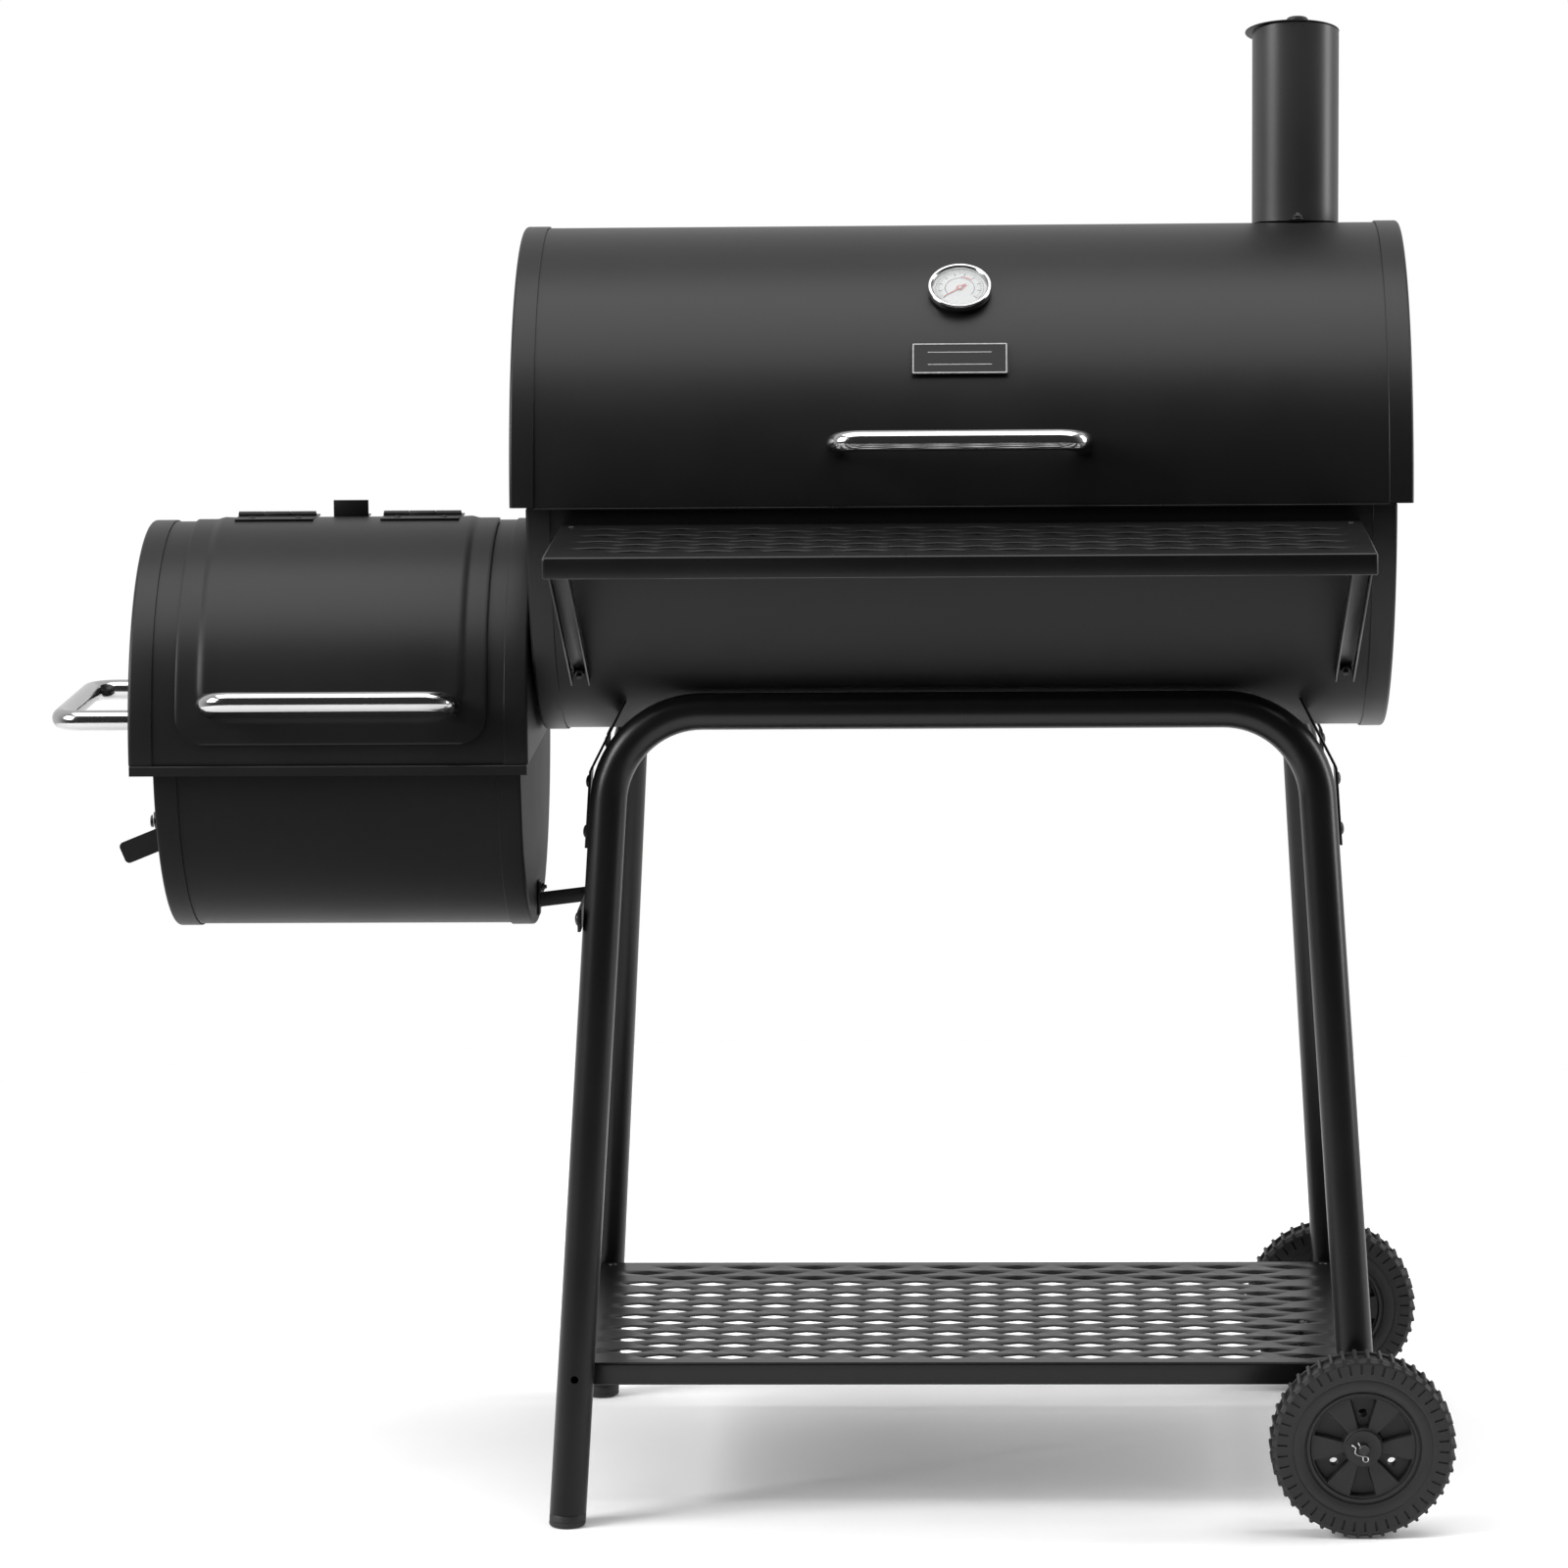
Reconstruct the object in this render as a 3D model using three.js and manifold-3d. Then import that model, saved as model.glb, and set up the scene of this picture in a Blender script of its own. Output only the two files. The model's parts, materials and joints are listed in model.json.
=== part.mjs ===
// Offset smoker: a horizontal barrel chamber with a hinged lid and a stack, a smaller firebox
// bolted to its left end, and a tubular stand with two wheels. Millimetres, +Z up, front towards -Y.
import * as THREE from "three";
import { mergeVertices } from "three/addons/utils/BufferGeometryUtils.js";
import Module from "manifold-3d";

const wasm = await Module();
wasm.setup();

// ---------------------------------------------------------------- driving dimensions
const gap = 0.3; // air kept between pieces that touch
const capWall = 1.2; // pressed end caps
const sheetWall = 1.5; // rolled sheets

// main chamber
const barrelAxisZ = 943;
const bodyRadius = 232;
const bodyLength = 786;
const capRim = 22; // width of an end cap's rim over its sheet
const lidOverSheet = 8; // the lid's radius beyond the body's
const lidOverEnd = 14; // how far the lid stands past each end of the body
const hemReach = 7.5; // how far the body's top hems stand out

// firebox
const hoodUnderLid = 34; // between the hood's crown and the lid's lower edge
const hoodRadius = 197;
const hoodLength = 368;
const hoodRim = 20;
const hoodSkirt = 9; // how far the hood reaches below its axis
const panStep = 9; // the lower half's radius short of the hood's
const panSetBack = 8; // its right end back from the hood's
const panShort = 29; // its length short of the hood's
const fireboxGap = 4; // between the hood and the chamber
const flangeReach = 9;
const portRadius = 55;
const portDrop = 128; // the port's centre below the barrel axis

// firebox door
const doorInset = 82; // the door's length short of the hood's
const doorAside = 3; // the door's middle to the right of the hood's
const doorLowAngle = 3; // degrees above the firebox axis
const doorTopAngle = 89.5;
const doorCornerRadius = 26;
const doorOverMouth = 18; // how far the door covers each end of the mouth
const mouthLowAngle = 16;
const mouthTopAngle = 78;
const doorHingeY = 7;
const doorHingeLift = 5.2; // hinge axis above the hood's crown
const doorKnuckleRadius = 3.2;
const doorHingeLength = 74;
const doorHingeSpan = 137.5; // between the middles of the two hinges
const doorStopWidth = 33;
const doorStopHeight = 17;

// stand
const tubeRadius = 17;
const tubeWall = 1.4;
const footHalfX = 368;
const footHalfY = 244;
const railInset = 80; // cross rails inside the body's front and back
const kneeHalfX = 321; // where a rail's line meets its leg's line
const bendRadius = 87;
const footCapHeight = 12;
const bracketDrop = 325; // a bracket's lower end below the barrel axis
const bottomShelfTop = 144;
const bottomShelfLength = 732;
const shelfClearance = 1.9; // between the bottom shelf and the legs
const shelfLip = 21;

// front shelf
const frontShelfDepth = 236;
const frontShelfDrop = 16; // its back edge below the barrel axis
const frontShelfTilt = 1; // degrees, front edge low
const frontShelfLip = 19;
const strutPastTube = 12; // a strut's middle outside a knee's tube
const strutInset = 11; // a strut's middle inside the shelf's end
const strutWidth = 18;
const strutDepth = 11;
const strutFootAngle = 42; // degrees below the barrel axis where a strut meets the barrel

// diamond openings in both shelves
const diamondLength = 42;
const diamondWidth = 18;
const diamondPitch = 66.6;
const diamondRowPitch = 22.8;
const diamondsPerRow = 10;
const bottomShelfRows = 17;
const frontShelfRows = 8;

// wheels
const wheelRadius = 84.7;
const wheelWidth = 38;
const wheelNest = 6; // a leg's lean lets its wheel stand this much nearer than its foot
const wheelHubRadius = 18;
const wheelRimRadius = 51;
const axleRadius = 5;
const axleClearance = 0.3;
const legBelowAxle = 26;

// handles
const handleTube = 9.5; // radius
const handleWall = 1;
const handleSpan = 222; // between arm centres
const handleReach = 48; // from the sheet to the bar's centre
const handleBend = 24;
const lidHandleAngle = 12.6; // degrees above the lid's edge
const doorHandleAngle = 13;
const sideHandleLift = 22; // above the firebox axis
const sideHandleReach = 76;

// stack
const stackX = 314;
const stackY = 52;
const stackRadius = 40.5;
const stackWall = 1.2;
const stackRise = 413; // at the stack's centre line, above the barrel axis
const stackSlant = 16; // degrees, front edge high
const capRadius = 44;
const capThickness = 1.5;
const capAside = 3.2; // the cap stands this far to the left of the stack
const capPivotFront = 33; // pivot screw ahead of the stack's centre
const capScrewRadius = 2.5;
const capKnobRadius = 10;

// thermometer and name plate
const dialAngle = 51; // degrees above the lid's edge
const bezelRadius = 29;
const bezelHeight = 9;
const dialRadius = 24.4;
const stemLength = 55;
const plateAngle = 32.5;
const plateLength = 87;
const plateHeight = 32;

// grates
const cookingGrateDrop = 30; // below the barrel axis
const charcoalGrateDrop = 150;
const fireGrateDrop = 95;
const grateThickness = 5;
const grateBarPitch = 36;
const grateBar = 8;
const grateClearance = 8; // between a grate's end and the chamber's rim
const ledgeWidth = 14;

// air damper on the firebox's left end
const damperDrop = 90; // below the firebox axis
const damperRadius = 42;
const damperTabLength = 55;
const damperTabWidth = 21;
const damperTabDrop = 5; // the tab's middle below the damper's pivot
const damperTabDroop = 22; // degrees
const damperPivotRadius = 2.9;
const damperHoleRadius = 11;
const damperHoleCircle = 25;

// firebox stay
const tieDrop = 156; // below the firebox axis
const tieHeight = 20;
const tieWall = 3;
const stayHeight = 14;

// ---------------------------------------------------------------- worked-out places
const radians = THREE.MathUtils.degToRad;
const bodyHalf = bodyLength / 2;
const lidRadius = bodyRadius + lidOverSheet;
const lidHalf = bodyHalf + lidOverEnd;
const fireboxAxisZ = barrelAxisZ - hoodUnderLid - hoodRadius;
const portZ = barrelAxisZ - portDrop;
const tieZ = fireboxAxisZ - tieDrop;
const ashPanRadius = hoodRadius - panStep;
const ashPanLength = hoodLength - panShort;
const doorLength = hoodLength - doorInset;
const mouthLength = doorLength - 2 * doorOverMouth;
const frontShelfBackZ = barrelAxisZ - frontShelfDrop;
const railHalfY = bodyRadius - railInset;
const strutHalfX = kneeHalfX + tubeRadius + strutPastTube;
const frontShelfLength = 2 * (strutHalfX + strutInset);
const wheelOuterY = footHalfY + tubeRadius + wheelWidth - wheelNest;
const hoodRight = -bodyHalf - fireboxGap;
const hoodLeft = hoodRight - hoodLength;
const panRight = hoodRight - panSetBack;
const panLeft = panRight - ashPanLength;
const doorMiddle = (hoodLeft + hoodRight) / 2 + doorAside;
const bodySheet = bodyRadius - capWall - gap;
const lidSheet = lidRadius - capWall - gap;
const hoodSheet = hoodRadius - capWall - gap;
const panSheet = ashPanRadius - capWall - gap;
const railZ = barrelAxisZ - Math.sqrt((bodyRadius + gap + tubeRadius) ** 2 - railHalfY ** 2);
const legSplayX = (footHalfX - kneeHalfX) / railZ; // sideways travel for each mm down
const legSplayY = (footHalfY - railHalfY) / railZ;
const legX = (z) => footHalfX - legSplayX * z;
const legY = (z) => footHalfY - legSplayY * z;
const bottomShelfDepth = 2 * (legY(bottomShelfTop) - tubeRadius - shelfClearance);
const axleZ = wheelRadius;
const axleX = legX(axleZ);
const doorRadius = hoodRadius + gap;
const doorHingeZ = fireboxAxisZ + doorRadius + doorHingeLift - 1;

// ---------------------------------------------------------------- materials
const paint = (color, roughness) => new THREE.MeshStandardMaterial({ color, roughness, metalness: 0.2 });
const blackPaint = paint(0x17181a, 0.5);
const tubePaint = paint(0x141416, 0.42);
const grateIron = paint(0x202022, 0.7);
const chrome = new THREE.MeshStandardMaterial({ color: 0xdadcde, roughness: 0.12, metalness: 1 });
const zinc = new THREE.MeshStandardMaterial({ color: 0x9a9c9e, roughness: 0.35, metalness: 1 });
const dialWhite = new THREE.MeshStandardMaterial({ color: 0xe9e9e6, roughness: 0.6, metalness: 0 });
const needleRed = new THREE.MeshStandardMaterial({ color: 0xb3201c, roughness: 0.5, metalness: 0 });
const clear = { opacity: 0.3, transparent: true };
const glass = new THREE.MeshStandardMaterial({ color: 0xeef2f4, roughness: 0.05, ...clear });
const plastic = new THREE.MeshStandardMaterial({ color: 0x1e1f20, roughness: 0.6, metalness: 0 });
const plateBlack = new THREE.MeshStandardMaterial({ color: 0x0d0d0e, roughness: 0.3, metalness: 0.1 });

// ---------------------------------------------------------------- solids
function solid(geometry) {
  const bare = geometry.index ? geometry.toNonIndexed() : geometry.clone();
  bare.deleteAttribute("normal");
  bare.deleteAttribute("uv");
  const merged = mergeVertices(bare, 1e-4);
  const vertProperties = merged.attributes.position.array;
  const triVerts = new Uint32Array(merged.index.array);
  return new wasm.Manifold(new wasm.Mesh({ numProp: 3, vertProperties, triVerts }));
}

function geometryOf(body) {
  const mesh = body.getMesh();
  const geometry = new THREE.BufferGeometry();
  geometry.setAttribute("position", new THREE.BufferAttribute(mesh.vertProperties, 3));
  geometry.setIndex(new THREE.BufferAttribute(mesh.triVerts, 1));
  geometry.computeVertexNormals();
  return geometry;
}

function join(...geometries) {
  return geometryOf(geometries.map(solid).reduce((all, next) => all.add(next)));
}

function cut(geometry, ...tools) {
  return geometryOf(tools.map(solid).reduce((left, tool) => left.subtract(tool), solid(geometry)));
}

function common(a, b) {
  return geometryOf(solid(a).intersect(solid(b)));
}

// A flat outline drawn in (Y, Z) and drawn out from x0 to x1.
function slabX(shape, x0, x1, arcSides = 24) {
  const curveSegments = arcSides / 2; // three.js makes two sides of each
  const geometry = new THREE.ExtrudeGeometry(shape, { depth: x1 - x0, bevelEnabled: false, curveSegments });
  const toX = new THREE.Matrix4().makeBasis(
    new THREE.Vector3(0, 1, 0),
    new THREE.Vector3(0, 0, 1),
    new THREE.Vector3(1, 0, 0),
  );
  return geometry.applyMatrix4(toX).translate(x0, 0, 0);
}

function boxBetween([x0, y0, z0], [x1, y1, z1]) {
  const geometry = new THREE.BoxGeometry(x1 - x0, y1 - y0, z1 - z0);
  return geometry.translate((x0 + x1) / 2, (y0 + y1) / 2, (z0 + z1) / 2);
}

// A round bar along X, Y or Z, about the point [x, y, z] of its middle.
function bar(axis, radius, length, [x, y, z], sides = 16) {
  const geometry = new THREE.CylinderGeometry(radius, radius, length, sides);
  if (axis === "x") geometry.rotateZ(Math.PI / 2);
  if (axis === "z") geometry.rotateX(Math.PI / 2);
  return geometry.translate(x, y, z);
}

// Angles in (Y, Z) run from the back (0) over the top (90) to the front (180).
function sectorShape(inner, outer, from, to) {
  const shape = new THREE.Shape();
  shape.absarc(0, 0, outer, radians(from), radians(to), false);
  shape.absarc(0, 0, inner, radians(to), radians(from), true);
  shape.closePath();
  return shape;
}

function rolledSheet(radius, wall, from, to, x0, x1, arcSides = 24) {
  return slabX(sectorShape(radius - wall, radius, from, to), x0, x1, arcSides);
}

// A pressed end: a flat segment of a disc at x = face with a rim turned back over its sheet.
function endCap({ radius, rim, from, to, face, inward, port }) {
  const segment = new THREE.Shape();
  segment.absarc(0, 0, radius, radians(from), radians(to), false);
  segment.closePath();
  if (port) segment.holes.push(new THREE.Path().absarc(0, port.z, port.radius, 0, 2 * Math.PI, true));
  const inner = face + inward * capWall;
  const edge = face + inward * rim;
  const plate = slabX(segment, Math.min(face, inner), Math.max(face, inner));
  const ring = rolledSheet(radius, capWall, from, to, Math.min(face, edge), Math.max(face, edge));
  return join(plate, ring);
}

// A path given by its stations, so that a swept tube has a section at each one and nowhere else.
class StationPath extends THREE.Curve {
  constructor(stations) {
    super();
    this.stations = stations;
  }
  getPoint(t, target = new THREE.Vector3()) {
    const along = THREE.MathUtils.clamp(t, 0, 1) * (this.stations.length - 1);
    const i = Math.min(Math.floor(along), this.stations.length - 2);
    return target.lerpVectors(this.stations[i], this.stations[i + 1], along - i);
  }
  getUtoTmapping(u) {
    return u;
  }
}

// Corner points with each inner corner rounded to the bend radius.
function roundedStations(corners, radius, steps) {
  const stations = [corners[0]];
  for (let i = 1; i < corners.length - 1; i++) {
    const back = corners[i - 1].clone().sub(corners[i]).normalize();
    const ahead = corners[i + 1].clone().sub(corners[i]).normalize();
    const half = back.angleTo(ahead) / 2;
    const inward = back.clone().add(ahead).normalize();
    const centre = corners[i].clone().addScaledVector(inward, radius / Math.sin(half));
    const start = corners[i].clone().addScaledVector(back, radius / Math.tan(half)).sub(centre);
    const axis = back.clone().cross(start).normalize();
    const turn = Math.PI - 2 * half;
    for (let s = 0; s <= steps; s++) {
      stations.push(start.clone().applyAxisAngle(axis, (turn * s) / steps).add(centre));
    }
  }
  stations.push(corners.at(-1));
  return stations;
}

function sweptTube(stations, radius, wall, sides) {
  const ring = new THREE.Shape().absarc(0, 0, radius, 0, 2 * Math.PI, false);
  ring.holes.push(new THREE.Path().absarc(0, 0, radius - wall, 0, 2 * Math.PI, true));
  return new THREE.ExtrudeGeometry(ring, {
    extrudePath: new StationPath(stations),
    steps: stations.length - 1,
    curveSegments: sides / 2, // three.js makes two sides of each
  });
}

// ---------------------------------------------------------------- the assembly
const smoker = new THREE.Group();
const barrel = new THREE.Group(); // origin on the barrel axis
const firebox = new THREE.Group(); // origin on the firebox axis
barrel.position.z = barrelAxisZ;
firebox.position.z = fireboxAxisZ;
smoker.add(barrel, firebox);

function place(parent, name, geometry, material) {
  const mesh = new THREE.Mesh(geometry, material);
  mesh.name = name;
  parent.add(mesh);
  return mesh;
}

// ---------------------------------------------------------------- main chamber
function barrelBody() {
  const inside = bodyHalf - capWall - gap;
  const hem = (side) =>
    boxBetween(
      [-inside, side > 0 ? bodySheet - sheetWall : -bodyRadius - hemReach, -gap - sheetWall],
      [inside, side > 0 ? bodyRadius + hemReach : -bodySheet + sheetWall, -gap],
    );
  const sheet = rolledSheet(bodySheet, sheetWall, 180.2, 359.8, -inside, inside);
  place(barrel, "barrel_sheet", join(sheet, hem(-1), hem(1), ledge(-1), ledge(1)), blackPaint);
  const port = { z: portZ - barrelAxisZ, radius: portRadius };
  const cap = { radius: bodyRadius, rim: capRim, from: 180.6, to: 359.4 };
  place(barrel, "barrel_end_left", endCap({ ...cap, face: -bodyHalf, inward: 1, port }), blackPaint);
  place(barrel, "barrel_end_right", endCap({ ...cap, face: bodyHalf, inward: -1 }), blackPaint);
}

// The ledge that a cooking grate rests on, welded inside the sheet.
function ledge(side) {
  const top = -cookingGrateDrop - gap;
  const outer = halfChord(bodySheet, -top) - sheetWall / 2;
  const edges = [side * outer, side * (outer - ledgeWidth)].sort((a, b) => a - b);
  const half = bodyHalf - capRim - grateClearance;
  return boxBetween([-half, edges[0], top - sheetWall], [half, edges[1], top]);
}

function grate(length, depth, x0, z) {
  const count = Math.floor((length - grateBar) / grateBarPitch);
  const pitch = (length - grateBar) / count;
  const slots = Array.from({ length: count }, (_, i) => {
    const left = x0 + grateBar + i * pitch;
    const low = [left, -depth / 2 + grateBar, z - 1];
    return boxBetween(low, [left + pitch - grateBar, depth / 2 - grateBar, z + grateThickness + 1]);
  });
  return cut(boxBetween([x0, -depth / 2, z], [x0 + length, depth / 2, z + grateThickness]), ...slots);
}

// Half the width of a round chamber at a height below its axis.
const halfChord = (radius, drop) => Math.sqrt(radius ** 2 - drop ** 2);

function barrelGrates() {
  const inner = bodySheet - sheetWall;
  const run = bodyHalf - capRim - grateClearance;
  const cookingDepth = 2 * (halfChord(inner, cookingGrateDrop) - 4);
  place(barrel, "cooking_grate_left", grate(run - 1, cookingDepth, -run, -cookingGrateDrop), grateIron);
  place(barrel, "cooking_grate_right", grate(run - 1, cookingDepth, 1, -cookingGrateDrop), grateIron);
  const coalDepth = 2 * (halfChord(inner, charcoalGrateDrop) - 1);
  place(barrel, "charcoal_grate", grate(2 * run, coalDepth, -run, -charcoalGrateDrop), grateIron);
}

// ---------------------------------------------------------------- lid
const lidHingeY = lidRadius + 7;
const lidHingeSpan = 520;
const lidHingeLength = 48;
const lidKnuckle = 5;
const lidPin = 2.2;

function lid() {
  const inside = lidHalf - capWall - gap;
  const sheet = rolledSheet(lidSheet, sheetWall, 0.1, 179.9, -inside, inside);
  const flue = bar("z", stackRadius - stackWall, 100, [stackX, stackY, lidRadius], 24);
  const stem = bar("z", 5, 60, [0, 0, 0], 12);
  stem.rotateX(radians(90 - dialAngle)).translate(0, ...radial(dialAngle, lidRadius));
  place(barrel, "lid_sheet", cut(sheet, flue, stem), blackPaint);
  const cap = { radius: lidRadius, rim: capRim, from: 0, to: 180 };
  place(barrel, "lid_end_left", endCap({ ...cap, face: -lidHalf, inward: 1 }), blackPaint);
  place(barrel, "lid_end_right", endCap({ ...cap, face: lidHalf, inward: -1 }), blackPaint);
}

// (Y, Z) of a point at an angle above the front edge.
function radial(angle, radius) {
  return [-radius * Math.cos(radians(angle)), radius * Math.sin(radians(angle))];
}

// Each lid hinge: a leaf on the body with two outer knuckles and the pin, a leaf on the lid between them.
function lidHinges() {
  const third = lidHingeLength / 3;
  for (const [side, name] of [[-1, "left"], [1, "right"]]) {
    const middle = (side * lidHingeSpan) / 2;
    const knuckle = (x, length) => bar("x", lidKnuckle, length, [x, lidHingeY, 0], 14);
    const ends = [middle - 1.5 * third, middle + 1.5 * third];
    const low = rolledSheet(bodyRadius + 1.8, 2, -14, -1.5, ...ends, 4);
    const webLow = (x0) => boxBetween([x0, bodyRadius, -7.5], [x0 + third - 1, lidHingeY, -4]);
    const body = join(
      low,
      webLow(middle - 1.5 * third),
      webLow(middle + 0.5 * third + 1),
      knuckle(middle - third, third - 1),
      knuckle(middle + third, third - 1),
      bar("x", lidPin, lidHingeLength, [middle, lidHingeY, 0], 10),
    );
    place(barrel, `lid_hinge_base_${name}`, body, blackPaint);
    const high = rolledSheet(lidRadius + gap + 2, 2, 3, 15, ...ends, 4);
    const webHigh = boxBetween(
      [middle - third / 2, lidRadius + 2 * gap, 4],
      [middle + third / 2, lidHingeY, 14],
    );
    const pinHole = bar("x", lidPin + gap, 60, [middle, lidHingeY, 0], 10);
    const eye = cut(join(knuckle(middle, third), webHigh), pinHole);
    place(barrel, `lid_hinge_leaf_${name}`, join(high, eye), blackPaint);
  }
}

// A bent tube handle: arms along +Z from z = 0, bar along X at z = reach.
function handleTubeGeometry(span, reach) {
  const half = span / 2;
  const corners = [
    new THREE.Vector3(-half, 0, 0),
    new THREE.Vector3(-half, 0, reach),
    new THREE.Vector3(half, 0, reach),
    new THREE.Vector3(half, 0, 0),
  ];
  return sweptTube(roundedStations(corners, handleBend, 4), handleTube, handleWall, 8);
}

function onRound(mesh, angle, radius) {
  mesh.rotation.x = radians(90 - angle);
  mesh.position.set(mesh.position.x, ...radial(angle, radius));
  return mesh;
}

function lidFittings() {
  const handle = place(barrel, "lid_handle", handleTubeGeometry(handleSpan, handleReach), chrome);
  onRound(handle, lidHandleAngle, lidRadius + gap);
  const plate = new THREE.BoxGeometry(plateLength, plateHeight, 2);
  onRound(place(barrel, "name_plate", plate, plateBlack), plateAngle, lidRadius + gap + 1);

  const faceZ = bezelHeight - 3;
  const stemRadius = 4;
  const caseProfile = [
    [0, -stemLength],
    [stemRadius, -stemLength],
    [stemRadius, gap],
    [bezelRadius - 3, gap],
    [bezelRadius, 3],
    [bezelRadius, bezelHeight - 2],
    [bezelRadius - 2, bezelHeight],
    [dialRadius + gap, bezelHeight],
    [dialRadius + gap, 3],
    [0, 3],
  ].map(([r, z]) => new THREE.Vector2(r, z));
  const housing = new THREE.LatheGeometry(caseProfile, 24).rotateX(Math.PI / 2);
  onRound(place(barrel, "thermometer_case", housing, chrome), dialAngle, lidRadius);
  const post = bar("z", 1.2, 2, [0, 0, 4.6 + gap], 10);
  const dial = join(bar("z", dialRadius, 0.8, [0, 0, 3.4 + gap], 24), post);
  onRound(place(barrel, "thermometer_dial", dial, dialWhite), dialAngle, lidRadius);
  const hand = new THREE.Shape();
  hand.moveTo(-1.3, 7);
  hand.lineTo(-0.4, -18);
  hand.lineTo(0.4, -18);
  hand.lineTo(1.3, 7);
  hand.closePath();
  const pointer = new THREE.ExtrudeGeometry(hand, { depth: 0.6, bevelEnabled: false });
  const hub = bar("z", 3.2, 0.6, [0, 0, 0.3], 16);
  const needle = cut(join(pointer, hub), bar("z", 1.2 + gap, 4, [0, 0, 0], 10));
  needle.rotateZ(radians(-52)).translate(0, 0, 4.6);
  onRound(place(barrel, "thermometer_needle", needle, needleRed), dialAngle, lidRadius);
  const lens = bar("z", dialRadius, 1, [0, 0, faceZ + 1.5], 24);
  onRound(place(barrel, "thermometer_lens", lens, glass), dialAngle, lidRadius);
}

// ---------------------------------------------------------------- stack
function stack() {
  const top = stackRise;
  const slant = radians(stackSlant);
  const tall = top + 60;
  const outer = bar("z", stackRadius, tall, [0, 0, tall / 2], 24);
  const bore = bar("z", stackRadius - stackWall, tall + 20, [0, 0, tall / 2], 24);
  const above = new THREE.BoxGeometry(200, 200, 200).translate(0, 0, 100);
  above.rotateX(-slant).translate(0, 0, top);
  const drum = bar("x", lidRadius + gap, 400, [0, -stackY, 0], 48);
  const pipe = cut(outer, bore, above, drum);
  // an ear at the front of the mouth carries the cap's riveted screw, and two feet bolt to the lid
  const ear = boxBetween([-8, -stackRadius + 0.6, -4], [8, -capPivotFront + 9, -2.2]);
  const earAt = ear.rotateX(-slant).translate(0, 0, top);
  const feet = [-1, 1].map((side) => {
    const [low, high] = [side * (stackRadius - 1), side * (stackRadius + 13)].sort((a, b) => a - b);
    const footprint = boxBetween([-8, low, 0], [8, high, lidRadius + 60]);
    const shell = rolledSheet(lidRadius + gap + 1.5, 1.5, 30, 150, -20, 20, 40).translate(0, -stackY, 0);
    return common(footprint, shell);
  });
  const shank = bar("z", capScrewRadius, 9, [0, -capPivotFront, 1.2], 12);
  const knob = bar("z", capKnobRadius, 4, [0, -capPivotFront, capThickness + 2 * gap + 2], 16);
  const screw = join(shank, knob).rotateX(-slant).translate(0, 0, top);
  const whole = join(pipe, earAt, ...feet, screw);
  place(barrel, "stack_pipe", whole, blackPaint).position.set(stackX, stackY, 0);

  // the cap is drawn flat about the stack's centre, then slanted
  const disc = bar("z", capRadius, capThickness, [-capAside, 0, gap + capThickness / 2], 32);
  const capHole = bar("z", capScrewRadius + gap, 10, [0, -capPivotFront, 0], 12);
  const cap = place(barrel, "stack_cap", cut(disc, capHole), blackPaint);
  cap.rotation.x = -slant;
  cap.position.set(stackX, stackY, top);
}

// ---------------------------------------------------------------- firebox
function fireboxPan() {
  const x0 = panLeft + capWall + gap;
  const x1 = panRight - capWall - gap;
  const top = -hoodSkirt - gap;
  const turn = THREE.MathUtils.radToDeg(Math.asin(-top / panSheet)) + 0.1;
  const sheet = rolledSheet(panSheet, sheetWall, 180 + turn, 360 - turn, x0, x1);
  const reach = hoodRadius + 2;
  const flange = (side) => {
    const between = (a, b) => [side * a, side * b].sort((p, q) => p - q);
    const rail = between(halfChord(panSheet, top) - 2, reach);
    const lip = between(reach - sheetWall, reach);
    return join(
      boxBetween([hoodLeft + 1, rail[0], top - sheetWall], [hoodRight - 1, rail[1], top]),
      boxBetween([hoodLeft + 1, lip[0], top - flangeReach], [hoodRight - 1, lip[1], top]),
    );
  };
  place(firebox, "firebox_pan", join(sheet, flange(-1), flange(1)), blackPaint);
  const capTurn = THREE.MathUtils.radToDeg(Math.asin((-top + sheetWall + gap) / ashPanRadius));
  const cap = { radius: ashPanRadius, rim: hoodRim, from: 180 + capTurn, to: 360 - capTurn };
  const vents = damperVents(panLeft, 0).map((vent) => vent.translate(0, 0, -damperDrop));
  const pivot = bar("x", damperPivotRadius + gap, 20, [panLeft, 0, -damperDrop], 10);
  const left = cut(endCap({ ...cap, face: panLeft, inward: 1 }), ...vents, pivot);
  place(firebox, "firebox_end_left", left, blackPaint);
  place(firebox, "firebox_end_right", endCap({ ...cap, face: panRight, inward: -1 }), blackPaint);
  const inner = panSheet - sheetWall;
  const run = [panLeft + hoodRim + 6, panRight - hoodRim - 6];
  const depth = 2 * (halfChord(inner, fireGrateDrop) - 1);
  place(firebox, "fire_grate", grate(run[1] - run[0], depth, run[0], -fireGrateDrop), grateIron);
}

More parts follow.
